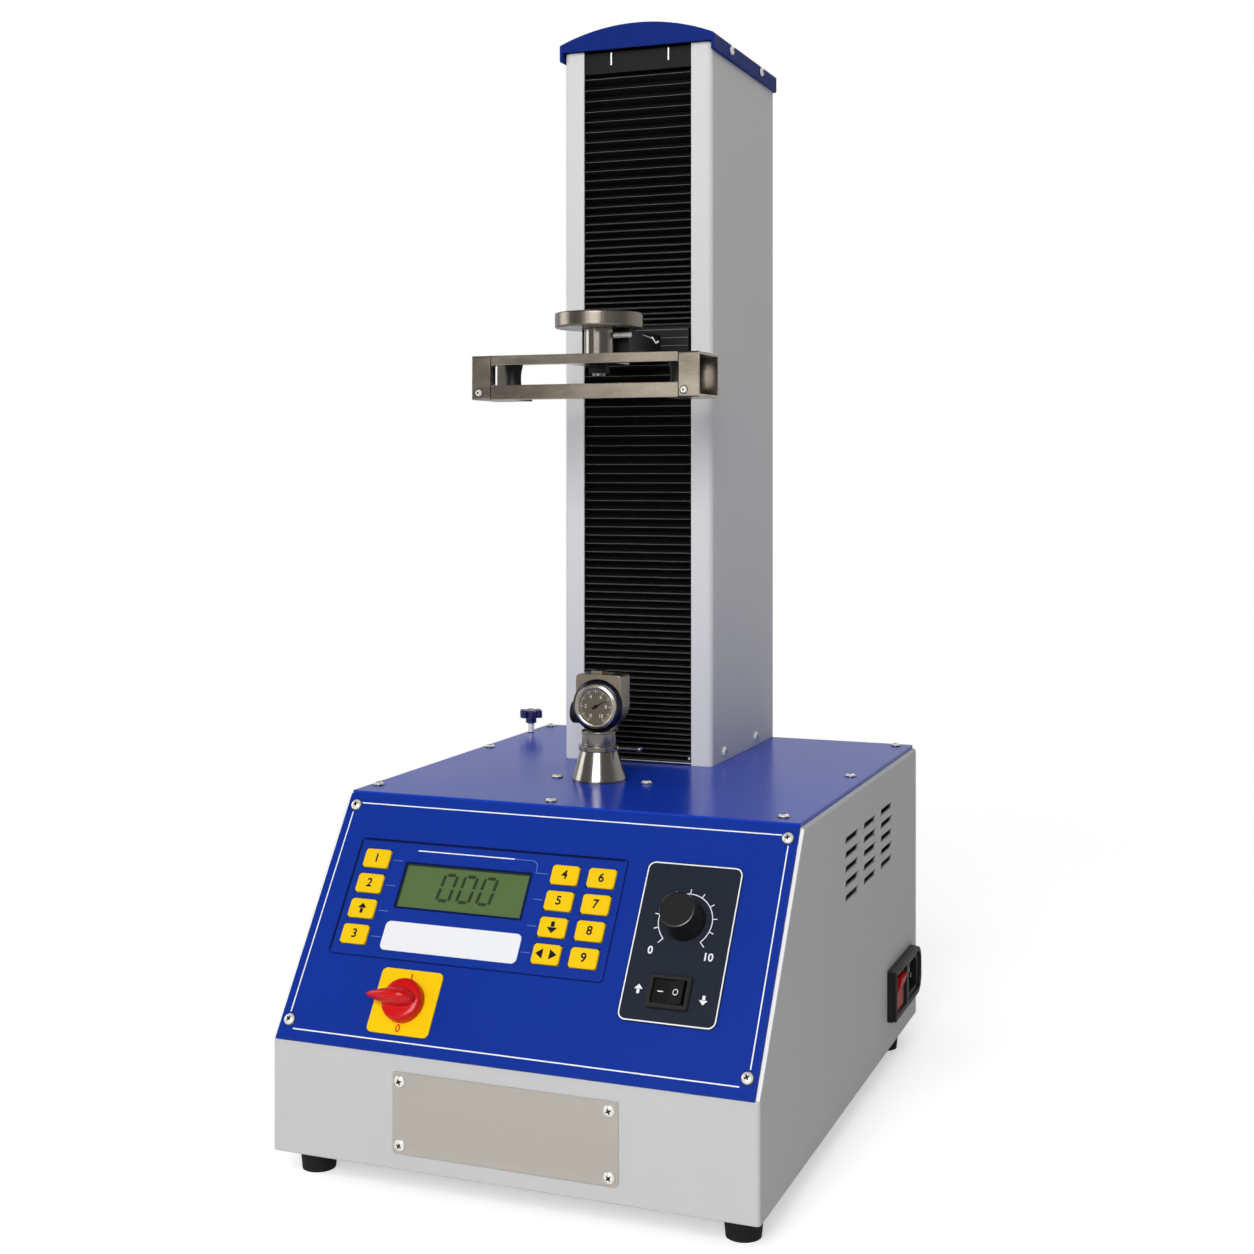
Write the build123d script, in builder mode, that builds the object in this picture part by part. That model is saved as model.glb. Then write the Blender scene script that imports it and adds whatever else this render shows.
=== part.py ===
"""Bench-top peel bond strength tester: sloped cabinet, column with bellows, peel frame and lower grip.

Millimetres. +X is to the operator's right, -Y faces the operator, +Z is up.
The origin is on the bench, under the middle of the cabinet.
"""

import os
from math import atan2, cos, degrees, hypot, radians, sin, tan

from build123d import *

# Clearances
seat_gap = 0.2  # between fixed pieces that are slid into each other
run_gap = 0.3  # round every piece that moves
shaft_gap = 0.3  # radial, round a turning shaft
fit_gap = 0.05  # radial, where a rod or bush is pressed in
lap = 0.1  # depth by which two features of one piece run into each other
pick_margin = 1.0  # within which an edge or corner counts as lying at a place

# Cabinet
cab_width = 360.0
cab_depth = 482.0
cab_height = 234.0
lip_height = 79.0
slope_run = 108.0
sheet = 2.0
cab_round = 3.0
rim = 18.0  # flange that the blue plates are screwed to
foot_height = 20.0
foot_top_d = 28.0
foot_bottom_d = 24.0
foot_edge_x = 20.0
foot_edge_front = 30.0
foot_edge_back = 46.0
base_flange = 12.0

# Vents in both cabinet sides
vent_columns = 3
vent_rows = 5
vent_length = 44.0
vent_height = 5.0
vent_lean = 3.0
vent_pitch_y = 59.0
vent_pitch_z = 10.9
vent_shift = 8.5  # behind the middle of the deck
vent_drop = 54.0  # middle of the vents below the cabinet's top

# Blue plates
plate_inset = 3.0
panel_thick = 2.0
top_thick = 3.0
screw_head_d = 8.0
screw_head_h = 2.4
screw_shank_d = 4.0
screw_shank_l = 5.5
screw_taper = 20.0
screw_hole_gap = 0.15
panel_screw_edge_x = 10.0
panel_screw_low = 14.0
panel_screw_high = 9.5  # below the upper edge of the slope
deck_screw_left = 10.0
deck_screw_right = 16.0
deck_screw_corner = 20.0
deck_screw_front_left = 27.0
deck_screw_front_right = 17.0
deck_screw_front_mid = 13.0
deck_screw_back = 11.0
deck_screw_mid_left = 41.0  # behind the middle of the deck
deck_screw_mid_right = 9.0
grip_screw_left = 36.0
grip_screw_right = 40.0

# Name plate on the front lip
name_w = 167.0
name_h = 56.0
name_thick = 1.2
name_lift = 11.5
name_screw_x = 77.5
name_screw_z = 22.0
name_round = 2.0

# Keypad and display on the slope, v runs up the slope from its lower edge
overlay_thick = 0.6
overlay_edge = 24.0  # from the cabinet's left side
overlay_gap = 15.05  # to the speed plate
overlay_below = 8.15  # below the lowest keys
overlay_above = 8.65
overlay_round = 3.0
key_w = 21.0
key_h = 14.5
key_round = 2.5
key_proud = 1.5
key_travel = 0.6
key_bevel = 0.6
key_flange = 1.5
key_flange_thick = 1.0
key_stem_d = 6.0
key_stem_l = 5.0
key_edge_left = 17.6  # middle of the left keys inside the overlay
key_edge_right = 17.1
key_pitch_x = 28.1
key_rows = 4
key_low_v = 79.9
key_pitch_v = 19.4
lcd_gap_left = 14.85  # between the left keys and the display
lcd_gap_right = 15.85
lcd_h = 33.2
lcd_drop = 33.9  # middle of the display below the overlay's upper edge
lcd_frame = 3.0
lcd_depth = 6.0
supply_w = 98.0
supply_d = 160.0
supply_h = 38.0
supply_edge = 90.0  # middle of the supply from the cabinet's left side
supply_y = -20.0
board_margin = 5.0
board_thick = 1.6
board_post_d = 7.0
board_post_x = 19.0
board_post_v = 7.0

# Stop switch
stop_edge = 96.0  # from the cabinet's left side
stop_v = 35.5
stop_plate_w = 48.0
stop_plate_h = 46.0
label_thick = 1.0
label_round = 4.0
stop_knob_d = 30.0
stop_disc_h = 9.0
stop_disc_lean = 0.6
stop_disc_bevel = 2.0
stop_ridge_h = 20.0
stop_ridge_w = 12.0
stop_ridge_tip = 27.0
stop_ridge_tail = 12.0
stop_ridge_widest = 2.0  # from the knob's axis
stop_ridge_lean = 6.0
spindle_d = 6.0
spindle_l = 12.0
spindle_hole_gap = 1.0
stop_body_w = 40.0
stop_body_h = 32.0
stop_body_l = 34.0
stop_body_shift = 3.0

# Speed plate, knob and direction rocker
speed_edge = 71.8  # from the cabinet's right side
speed_v = 98.0
speed_w = 70.3
speed_h = 113.5
speed_round = 6.0
speed_knob_rise = 15.5  # above the middle of the speed plate
speed_knob_base_d = 29.0
speed_knob_top_d = 25.0
speed_knob_h = 21.0
speed_knob_bevel = 1.0
pot_d = 24.0
pot_l = 14.0
rocker_shift = -1.2  # from the middle of the speed plate
rocker_fall = 35.0
bezel_w = 30.0
bezel_h = 23.0
bezel_proud = 3.0
bezel_round = 1.0
bezel_bevel = 0.8
bezel_rim = 3.0
bezel_skirt = 1.5
bezel_depth = 14.0
rocker_angle = 8.0
rocker_rise = 3.2
rocker_pivot_drop = 2.0
rocker_swing = 0.7  # room at each end for the rocker's swing
rocker_skirt = 1.0
rocker_keel = 6.0
rocker_keel_w = 11.0
trunnion_d = 3.0
trunnion_l = 1.5

# Mains inlet with its switch, on the right side
inlet_w = 103.0
inlet_h = 42.0
inlet_edge = 65.5  # from the cabinet's back
inlet_rise = 45.0  # above the cabinet's lower edge
inlet_proud = 5.5
inlet_round = 15.0
inlet_bevel = 1.2
inlet_body_gap = 4.0
inlet_body_l = 28.0
socket_w = 32.0
socket_h = 25.0
socket_depth = 18.0
socket_chamfer = 6.0
socket_back = 12.0
pin_w = 2.0
pin_h = 4.0
pin_l = 15.0
pin_spread = 7.0
pin_drop = 3.0
power_rocker_w = 22.0
power_rocker_h = 28.0
power_rocker_front = 14.0
power_rocker_rise = 4.2
power_well_depth = 16.0
power_pivot_drop = 4.0
power_angle = 9.0

# Column
column_x = -19.0
column_w = 132.0
column_front_y = 63.5
column_height = 599.0
column_sheet = 2.0
column_strip = 18.0
column_round = 5.0
foot_screw_setback = 31.5  # from the column's front
foot_screw_pitch = 90.0
foot_screw_lift = 8.5
cap_screw_setback = 43.5
cap_screw_pitch = 87.0
cap_screw_lift = 1.5
cap_thick = 2.5
cap_overhang = 3.0
cap_shoulder = 6.5
cap_front_lap = 4.5
cap_skirt = 14.0
cap_rise = 14.0

# Bellows
bellows_w = 112.0
bellows_depth = 11.0
bellows_recess = 0.6
bellows_skin = 1.0
bellows_end = 1.2
bellows_head = 20.0  # flat frame above the upper folds
bellows_head_gap = 1.0
upper_folds = 31
lower_folds = 52
fold_grading = 0.64  # folds hang closer together low down

# Crosshead drive
rod_d = 16.0
rod_spread = 76.0
drive_setback = 78.5  # rods and screw behind the column's front
screw_d = 16.0
bearing_w = 116.0
bearing_depth = 56.0
bearing_h = 24.0
bearing_drop = 6.0
carriage_w = 112.0
carriage_depth = 56.0
carriage_h = 60.0
nut_d = 28.0
nut_flange_d = 40.0
nut_flange_h = 8.0
nut_l = 42.0
coupling_d = 26.0
coupling_l = 38.0
coupling_drop = 8.0
motor_w = 57.0
motor_l = 76.0
motor_round = 5.0
motor_gap = 4.0
motor_post_d = 8.0
motor_post_spread = 47.0
motor_shaft_d = 8.0
motor_shaft_l = 10.0
motor_bore_gap = 1.0
coupling_hole_d = 34.0

# Crosshead, load cell and stem
axis_x = -17.5
axis_y = -25.0
crosshead_rise = 351.0  # middle of the crosshead plate above the deck
crosshead_h = 25.0
crosshead_w = 92.0
crosshead_proud = 1.0
crosshead_neck_w = 60.0
crosshead_neck_inset = 2.0
arm_w = 40.0
arm_h = 18.5
stem_d = 23.4
stem_gap = 1.5
cell_d = 70.0
cell_h = 12.0
cell_bevel = 0.8

# Peel frame
frame_offset_x = -4.0
frame_l = 191.0
frame_depth = 49.0
frame_h = 35.0
frame_drop = 15.0  # from the middle of the crosshead to the frame's top
end_l = 16.5
end_wall = 2.3
end_lug = 16.0
lug_front_gap = 0.5
lug_setback = 4.0
frame_round = 1.5
bar_thick = 9.0
upper_bar_h = 7.5
lower_bar_h = 11.5
bar_tenon = 13.0
hub_w = 40.0
hub_reach = 15.0
stem_nut_d = 16.0
stem_nut_h = 7.0
stem_thread_d = 10.0
stem_thread_tail = 2.0
roller_flange_d = 17.0
roller_waist_d = 12.5
roller_pin_d = 5.0
roller_inset = 8.5  # roller axis beyond the inner side of an end
roller_lip = 2.0
frame_screw_d = 6.0
frame_screw_h = 1.8
frame_screw_taper = 25.0
frame_screw_shank_d = 3.0
frame_screw_shank_l = 7.0
frame_screw_left = 6.0  # from the frame's left end
frame_screw_right = 12.0  # from the frame's right end
frame_screw_lift = 5.5

# Lower grip
grip_base_d = 43.0
grip_neck_d = 30.0
grip_base_h = 24.0
grip_base_rim = 2.0
collar_d = 32.0
collar_h = 4.0
collar_gap = 0.1
grip_spigot_d = 27.0
grip_neck_w = 22.0
grip_neck_lap = 3.0
grip_round = 3.0
grip_body_w = 38.0
grip_body_depth = 20.0
grip_front = 2.0  # the body's front lies this far ahead of the grip's axis
dial_rise = 59.0  # above the deck
grip_top_rise = 24.5
drum_d = 42.0
drum_l = 4.0
drum_rim = 1.5
gauge_rim_d = 35.0
gauge_rim_l = 3.5
gauge_rim_bevel = 1.0
dial_d = 28.0
dial_recess = 2.4
needle_l = 10.5
needle_tail = 3.5
needle_w = 1.6
needle_thick = 0.5
needle_hub_d = 2.8
needle_angle = 60.0  # clockwise from twelve o'clock, as the needle rests
pocket_depth = 13.0
pocket_drop = 38.0
jaw_thick = 9.0
jaw_rise = 2.5
jaw_travel = 5.0
jaw_least_gap = 1.0
jaw_wall = 1.0
clamp_screw_d = 7.0
clamp_screw_drop = 7.0  # below the middle of the dial
clamp_knob_d = 18.0
clamp_knob_l = 6.0
clamp_knob_bevel = 0.8
lever_d = 2.4
lever_l = 34.0
lever_ball_d = 4.5
lever_root = 1.0

# Star knob on the top plate
star_edge = 8.0  # from the cabinet's left side
star_edge_back = 53.0
star_d = 22.0
star_h = 7.0
star_core_d = 14.0
star_lobe_d = 7.0
star_bevel = 1.0
star_hub_d = 10.0
star_hub_h = 6.0
star_hub_lap = 1.0
star_stud_d = 5.0
star_stud_h = 9.0
star_stud_tail = 5.0
star_lobes = 6

# Places that follow from the sizes
half_w = cab_width / 2
front_y = -cab_depth / 2
back_y = cab_depth / 2
base_z = foot_height
lip_z = base_z + lip_height
top_z = base_z + cab_height
deck_z = top_z + top_thick
slope_rise = cab_height - lip_height
slope_length = hypot(slope_run, slope_rise)
slope_angle = atan2(slope_rise, slope_run)
slope_back_y = front_y + slope_run
deck_mid_y = (slope_back_y + back_y) / 2
plate_w = cab_width - 2 * plate_inset
stop_x = -half_w + stop_edge
speed_x = half_w - speed_edge
speed_knob_v = speed_v + speed_knob_rise
rocker_x = speed_x + rocker_shift
rocker_v = speed_v - rocker_fall
overlay_x0 = -half_w + overlay_edge
overlay_x1 = speed_x - speed_w / 2 - overlay_gap
key_columns = {
    "left": overlay_x0 + key_edge_left,
    "middle": overlay_x1 - key_edge_right - key_pitch_x,
    "right": overlay_x1 - key_edge_right,
}
key_top_v = key_low_v + (key_rows - 1) * key_pitch_v
overlay_v0 = key_low_v - key_h / 2 - overlay_below
overlay_v1 = key_top_v + key_h / 2 + overlay_above
lcd_x0 = key_columns["left"] + key_w / 2 + lcd_gap_left
lcd_x1 = key_columns["middle"] - key_w / 2 - lcd_gap_right
lcd_w = lcd_x1 - lcd_x0
lcd_x = (lcd_x0 + lcd_x1) / 2
lcd_v = overlay_v1 - lcd_drop
board_w = key_columns["right"] - key_columns["left"] + key_w + 2 * board_margin
board_h = key_top_v - key_low_v + key_h + 2 * board_margin
board_mid = ((key_columns["right"] + key_columns["left"]) / 2, (key_low_v + key_top_v) / 2)
inlet_y = back_y - inlet_edge
inlet_z = base_z + inlet_rise
star_x = -half_w + star_edge
star_y = back_y - star_edge_back
column_top = deck_z + column_height
column_depth = back_y - column_front_y
drive_y = column_front_y + drive_setback
crosshead_z = deck_z + crosshead_rise
dial_z = deck_z + dial_rise
clamp_screw_z = dial_z - clamp_screw_drop
plate_half = crosshead_h / 2
arm_top = crosshead_z - plate_half + arm_h
frame_top = crosshead_z - frame_drop
frame_bottom = frame_top - frame_h
frame_x = axis_x + frame_offset_x
frame_front = axis_y - frame_depth / 2
body_front = axis_y - grip_front
grip_top = dial_z + grip_top_rise
pocket_w = run_gap + jaw_thick + jaw_travel + jaw_least_gap
collar_z = deck_z + grip_base_h
key_stack = panel_thick + overlay_thick + key_proud

slope_plane = Plane(
    origin=(0, front_y, lip_z),
    x_dir=(1, 0, 0),
    z_dir=(0, -sin(slope_angle), cos(slope_angle)),
)
right_plane = Plane(origin=(half_w, 0, 0), x_dir=(0, 1, 0), z_dir=(1, 0, 0))
lip_plane = Plane(origin=(0, front_y, 0), x_dir=(1, 0, 0), z_dir=(0, -1, 0))
deck_plane = Plane.XY.offset(deck_z)

os.makedirs("parts", exist_ok=True)


def finish(piece, name):
    """Label a finished piece and write its STEP file."""
    piece.part.label = name
    export_step(piece.part, f"parts/{name}.step")


def side_points(height_of_base):
    """Corners of the cabinet seen from the side, with its foot at a given height."""
    return [
        (front_y, height_of_base),
        (front_y, lip_z),
        (slope_back_y, top_z),
        (back_y, top_z),
        (back_y, height_of_base),
    ]


def knob_section(x, v):
    """Plane through a knob's axis: its x is the radius and its y the height above the slope."""
    centre = slope_plane.from_local_coords((x, v, 0))
    return Plane(origin=centre, x_dir=(1, 0, 0), z_dir=-slope_plane.y_dir)


def knob_axis(x, v):
    """The slope's normal through a place on it."""
    return Axis(slope_plane.from_local_coords((x, v, 0)), slope_plane.z_dir)


def rocker_outline(half_span, rise, tilt):
    """Side view of a rocker about its pivot, with two shallow planes on top."""
    end = half_span - rocker_swing
    shoulder = rise + end * tan(radians(tilt))
    return [
        (-end, -rocker_skirt),
        (-end, shoulder),
        (0, rise),
        (end, shoulder),
        (end, -rocker_skirt),
        (rocker_keel_w / 2, -rocker_keel),
        (-rocker_keel_w / 2, -rocker_keel),
    ]


# Where the screws and keys stand
slope_screws = [
    (side * (half_w - panel_screw_edge_x), v)
    for side in (-1, 1)
    for v in (panel_screw_low, slope_length - panel_screw_high)
]
deck_screws = [
    (-half_w + deck_screw_left, slope_back_y + deck_screw_front_left),
    (half_w - deck_screw_corner, slope_back_y + deck_screw_front_right),
    (-half_w + deck_screw_left, deck_mid_y + deck_screw_mid_left),
    (half_w - deck_screw_right, deck_mid_y + deck_screw_mid_right),
    (-half_w + deck_screw_left, back_y - deck_screw_back),
    (half_w - deck_screw_right, back_y - deck_screw_back),
    (axis_x, slope_back_y + deck_screw_front_mid),
    (axis_x - grip_screw_left, axis_y),
    (axis_x + grip_screw_right, axis_y),
]
name_mid_z = base_z + name_lift + name_h / 2
name_screws = [
    (x, name_mid_z + z)
    for x in (-name_screw_x, name_screw_x)
    for z in (-name_screw_z, name_screw_z)
]
key_places = {
    f"key_{column}_{row}": (x, key_low_v + (key_rows - row) * key_pitch_v)
    for column, x in key_columns.items()
    for row in range(1, key_rows + 1)
}
hole_r = screw_shank_d / 2 + screw_hole_gap


# Cabinet shell, one folded sheet that is open below and under the blue plates
with BuildPart() as cabinet_shell:
    with BuildSketch(Plane.YZ):
        with BuildLine():
            Polyline(*side_points(base_z), close=True)
        make_face()
    extrude(amount=half_w, both=True)
    outline = [
        edge
        for edge in cabinet_shell.edges()
        if abs(abs(edge.center().X) - half_w) < lap and edge.center().Z > base_z + pick_margin
    ]
    fillet(outline, radius=cab_round)
    with BuildSketch(Plane.YZ):
        with BuildLine():
            Polyline(*side_points(base_z - cab_height), close=True)
        make_face()
        offset(amount=-sheet, kind=Kind.INTERSECTION)
    extrude(amount=half_w - sheet, both=True, mode=Mode.SUBTRACT)
    with BuildSketch(slope_plane):
        with Locations((0, slope_length / 2)):
            Rectangle(cab_width - 2 * rim, slope_length - 2 * rim)
        with Locations(board_mid):
            Rectangle(board_w + 2 * run_gap, board_h + 2 * run_gap)
    extrude(amount=-2 * sheet, mode=Mode.SUBTRACT)
    with BuildSketch(Plane.XY.offset(top_z)):
        with Locations((0, deck_mid_y)):
            Rectangle(cab_width - 2 * rim, cab_depth - slope_run - 2 * rim)
    extrude(amount=-2 * sheet, mode=Mode.SUBTRACT)
    with BuildSketch(right_plane.offset(sheet)):
        with Locations((deck_mid_y + vent_shift, top_z - vent_drop)):
            with GridLocations(vent_pitch_y, vent_pitch_z, vent_columns, vent_rows):
                Polygon(
                    (-vent_length / 2, -vent_height / 2),
                    (vent_length / 2 - vent_lean, -vent_height / 2),
                    (vent_length / 2, vent_height / 2),
                    (-vent_length / 2 + vent_lean, vent_height / 2),
                )
    extrude(amount=-cab_width - 2 * sheet, mode=Mode.SUBTRACT)
    with BuildSketch(right_plane.offset(sheet)):
        with Locations((inlet_y, inlet_z)):
            Rectangle(
                inlet_w - 2 * inlet_body_gap + 2 * seat_gap,
                inlet_h - 2 * inlet_body_gap + 2 * seat_gap,
            )
    extrude(amount=-3 * sheet, mode=Mode.SUBTRACT)
    with BuildSketch(slope_plane):
        with Locations(*slope_screws):
            Circle(hole_r)
    extrude(amount=-2 * sheet, mode=Mode.SUBTRACT)
    with BuildSketch(Plane.XY.offset(top_z)):
        with Locations(*deck_screws):
            Circle(hole_r)
        with Locations((star_x, star_y)):
            Circle(star_stud_d / 2 + run_gap)
    extrude(amount=-2 * sheet, mode=Mode.SUBTRACT)
    with BuildSketch(lip_plane):
        with Locations(*name_screws):
            Circle(hole_r)
    extrude(amount=-2 * sheet, mode=Mode.SUBTRACT)
finish(cabinet_shell, "cabinet_shell")

# Base plate with turned-up sides
with BuildPart() as base_plate:
    tray_w = cab_width - 2 * sheet - 2 * seat_gap
    tray_d = cab_depth - 2 * sheet - 2 * seat_gap
    with BuildSketch(Plane.XY.offset(base_z)):
        Rectangle(tray_w, tray_d)
    extrude(amount=base_flange)
    with BuildSketch(Plane.XY.offset(base_z + sheet)):
        Rectangle(tray_w - 2 * sheet, tray_d - 2 * sheet)
    extrude(amount=base_flange, mode=Mode.SUBTRACT)
finish(base_plate, "base_plate")

# Rubber feet, slightly tapered
with BuildPart() as rubber_feet:
    foot_places = [
        (side * (half_w - foot_edge_x), y)
        for side in (-1, 1)
        for y in (front_y + foot_edge_front, back_y - foot_edge_back)
    ]
    with BuildSketch(Plane.XY):
        with Locations(*foot_places):
            Circle(foot_bottom_d / 2)
    taper_angle = degrees(atan2((foot_top_d - foot_bottom_d) / 2, foot_height))
    extrude(amount=foot_height, taper=-taper_angle)
finish(rubber_feet, "rubber_feet")

# Sloped control panel
with BuildPart() as front_panel:
    with BuildSketch(slope_plane):
        with Locations((0, slope_length / 2)):
            Rectangle(plate_w, slope_length)
        with Locations((lcd_x, lcd_v)):
            Rectangle(lcd_w, lcd_h, mode=Mode.SUBTRACT)
        with Locations(*key_places.values()):
            Rectangle(key_w + 2 * run_gap, key_h + 2 * run_gap, mode=Mode.SUBTRACT)
        with Locations((stop_x, stop_v), (speed_x, speed_knob_v)):
            Circle(spindle_d / 2 + spindle_hole_gap, mode=Mode.SUBTRACT)
        with Locations((rocker_x, rocker_v)):
            Rectangle(bezel_w - 2 * bezel_skirt, bezel_h - 2 * bezel_skirt, mode=Mode.SUBTRACT)
        with Locations(*slope_screws):
            Circle(hole_r, mode=Mode.SUBTRACT)
    extrude(amount=panel_thick)
finish(front_panel, "front_panel")

# Top plate that carries the column and the lower grip
with BuildPart() as top_plate:
    with BuildSketch(Plane.XY.offset(top_z)):
        with Locations((0, deck_mid_y)):
            Rectangle(plate_w, back_y - slope_back_y)
        with Locations((column_x, drive_y)):
            Circle(coupling_hole_d / 2, mode=Mode.SUBTRACT)
        with Locations(*deck_screws):
            Circle(hole_r, mode=Mode.SUBTRACT)
        with Locations((star_x, star_y)):
            Circle(star_stud_d / 2 + run_gap, mode=Mode.SUBTRACT)
    extrude(amount=top_thick)
    fillet(top_plate.edges().filter_by(Axis.Z).sort_by(Axis.Y)[-2:], radius=cab_round)
finish(top_plate, "top_plate")

# Pan-head screws of the blue plates and the name plate
with BuildPart() as panel_screws:
    for seat_plane, spots in (
        (slope_plane.offset(panel_thick), slope_screws),
        (deck_plane, deck_screws),
        (lip_plane.offset(name_thick), name_screws),
    ):
        with BuildSketch(seat_plane):
            with Locations(*spots):
                Circle(screw_head_d / 2)
        extrude(amount=screw_head_h, taper=screw_taper)
        with BuildSketch(seat_plane):
            with Locations(*spots):
                Circle(screw_shank_d / 2)
        extrude(amount=-screw_shank_l)
finish(panel_screws, "panel_screws")

# Name plate, left bare
with BuildPart() as name_plate:
    with BuildSketch(lip_plane):
        with Locations((0, name_mid_z)):
            RectangleRounded(name_w, name_h, name_round)
        with Locations(*name_screws):
            Circle(hole_r, mode=Mode.SUBTRACT)
    extrude(amount=name_thick)
finish(name_plate, "name_plate")

# Keypad overlay, a thin film with windows for the keys and the display
with BuildPart() as keypad_overlay:
    overlay_w = overlay_x1 - overlay_x0
    overlay_h = overlay_v1 - overlay_v0
    overlay_mid = ((overlay_x0 + overlay_x1) / 2, (overlay_v0 + overlay_v1) / 2)
    with BuildSketch(slope_plane.offset(panel_thick)):
        with Locations(overlay_mid):
            RectangleRounded(overlay_w, overlay_h, overlay_round)
        with Locations((lcd_x, lcd_v)):
            Rectangle(lcd_w, lcd_h, mode=Mode.SUBTRACT)
        with Locations(*key_places.values()):
            Rectangle(key_w + 2 * run_gap, key_h + 2 * run_gap, mode=Mode.SUBTRACT)
    extrude(amount=overlay_thick)
finish(keypad_overlay, "keypad_overlay")

# Display module with its glass standing in the window
with BuildPart() as lcd_display:
    with BuildSketch(slope_plane.offset(-lcd_depth)):
        with Locations((lcd_x, lcd_v)):
            Rectangle(lcd_w + 2 * lcd_frame, lcd_h + 2 * lcd_frame)
    extrude(amount=lcd_depth)
    with BuildSketch(slope_plane):
        with Locations((lcd_x, lcd_v)):
            Rectangle(lcd_w - 2 * seat_gap, lcd_h - 2 * seat_gap)
    extrude(amount=panel_thick)
finish(lcd_display, "lcd_display")

# Keys, each a cap with a retaining flange and a stem that reaches its switch
for key_name, (key_x, key_v) in key_places.items():
    with BuildPart() as key:
        with BuildSketch(slope_plane.offset(-run_gap)):
            with Locations((key_x, key_v)):
                RectangleRounded(key_w, key_h, key_round)
        extrude(amount=key_stack + run_gap)
        top_face = max(key.faces(), key=lambda face: face.center().dot(slope_plane.z_dir))
        chamfer(top_face.edges(), length=key_bevel)
        with BuildSketch(slope_plane.offset(-run_gap - key_flange_thick)):
            with Locations((key_x, key_v)):
                Rectangle(key_w + 2 * key_flange, key_h + 2 * key_flange)
        extrude(amount=key_flange_thick)
        with BuildSketch(slope_plane.offset(-run_gap - key_flange_thick - key_stem_l)):
            with Locations((key_x, key_v)):
                Circle(key_stem_d / 2)
        extrude(amount=key_stem_l)
    finish(key, key_name)

# Control board on four posts behind the keys, and the power supply on the base plate
with BuildPart() as electronics:
    board_top = -run_gap - key_flange_thick - key_stem_l - key_travel - seat_gap
    board_posts = [
        (x, v)
        for x in (key_columns["left"] + board_post_x, key_columns["middle"] - board_post_x)
        for v in (key_low_v - board_post_v, key_top_v + board_post_v)
    ]
    with BuildSketch(slope_plane.offset(board_top - board_thick)):
        with Locations(board_mid):
            Rectangle(board_w, board_h)
    extrude(amount=board_thick)
    with BuildSketch(slope_plane.offset(board_top)):
        with Locations(*board_posts):
            Circle(board_post_d / 2)
    extrude(amount=-board_top)
    with BuildSketch(Plane.XY.offset(base_z + sheet)):
        with Locations((supply_edge - half_w, supply_y)):
            Rectangle(supply_w, supply_d)
    extrude(amount=supply_h)
finish(electronics, "electronics")

# Yellow plate under the stop switch
with BuildPart() as stop_plate:
    with BuildSketch(slope_plane.offset(panel_thick)):
        with Locations((stop_x, stop_v)):
            RectangleRounded(stop_plate_w, stop_plate_h, label_round)
            Circle(spindle_d / 2 + spindle_hole_gap, mode=Mode.SUBTRACT)
    extrude(amount=label_thick)
finish(stop_plate, "stop_plate")

# Red turn knob: a round skirt with a pointed ridge across it, on its spindle
with BuildPart() as stop_knob:
    knob_base = panel_thick + label_thick + run_gap
    disc_r = stop_knob_d / 2
    with BuildSketch(knob_section(stop_x, stop_v)):
        with BuildLine():
            Polyline(
                (0, knob_base - spindle_l),
                (spindle_d / 2, knob_base - spindle_l),
                (spindle_d / 2, knob_base),
                (disc_r, knob_base),
                (disc_r - stop_disc_lean, knob_base + stop_disc_h - stop_disc_bevel),
                (disc_r - stop_disc_lean - stop_disc_bevel, knob_base + stop_disc_h),
                (0, knob_base + stop_disc_h),
                close=True,
            )
        make_face()
    revolve(axis=knob_axis(stop_x, stop_v))
    with BuildSketch(slope_plane.offset(knob_base + lap)):
        with BuildLine():
            tip = (stop_x - stop_ridge_tip, stop_v)
            heel = (stop_x + stop_ridge_tail, stop_v)
            upper = (stop_x + stop_ridge_widest, stop_v + stop_ridge_w / 2)
            lower = (stop_x + stop_ridge_widest, stop_v - stop_ridge_w / 2)
            Line(tip, lower)
            ThreePointArc(lower, heel, upper)
            Line(upper, tip)
        make_face()
    extrude(amount=stop_ridge_h - lap, taper=stop_ridge_lean)
finish(stop_knob, "stop_knob")

# Speed plate
with BuildPart() as speed_plate:
    with BuildSketch(slope_plane.offset(panel_thick)):
        with Locations((speed_x, speed_v)):
            RectangleRounded(speed_w, speed_h, speed_round)
        with Locations((speed_x, speed_knob_v)):
            Circle(spindle_d / 2 + spindle_hole_gap, mode=Mode.SUBTRACT)
        with Locations((rocker_x, rocker_v)):
            Rectangle(bezel_w - 2 * bezel_skirt, bezel_h - 2 * bezel_skirt, mode=Mode.SUBTRACT)
    extrude(amount=label_thick)
finish(speed_plate, "speed_plate")

# Speed knob with its spindle
with BuildPart() as speed_knob:
    knob_top = knob_base + speed_knob_h
    with BuildSketch(knob_section(speed_x, speed_knob_v)):
        with BuildLine():
            Polyline(
                (0, knob_base - spindle_l),
                (spindle_d / 2, knob_base - spindle_l),
                (spindle_d / 2, knob_base),
                (speed_knob_base_d / 2, knob_base),
                (speed_knob_top_d / 2, knob_top - speed_knob_bevel),
                (speed_knob_top_d / 2 - speed_knob_bevel, knob_top),
                (0, knob_top),
                close=True,
            )
        make_face()
    revolve(axis=knob_axis(speed_x, speed_knob_v))
finish(speed_knob, "speed_knob")

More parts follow.
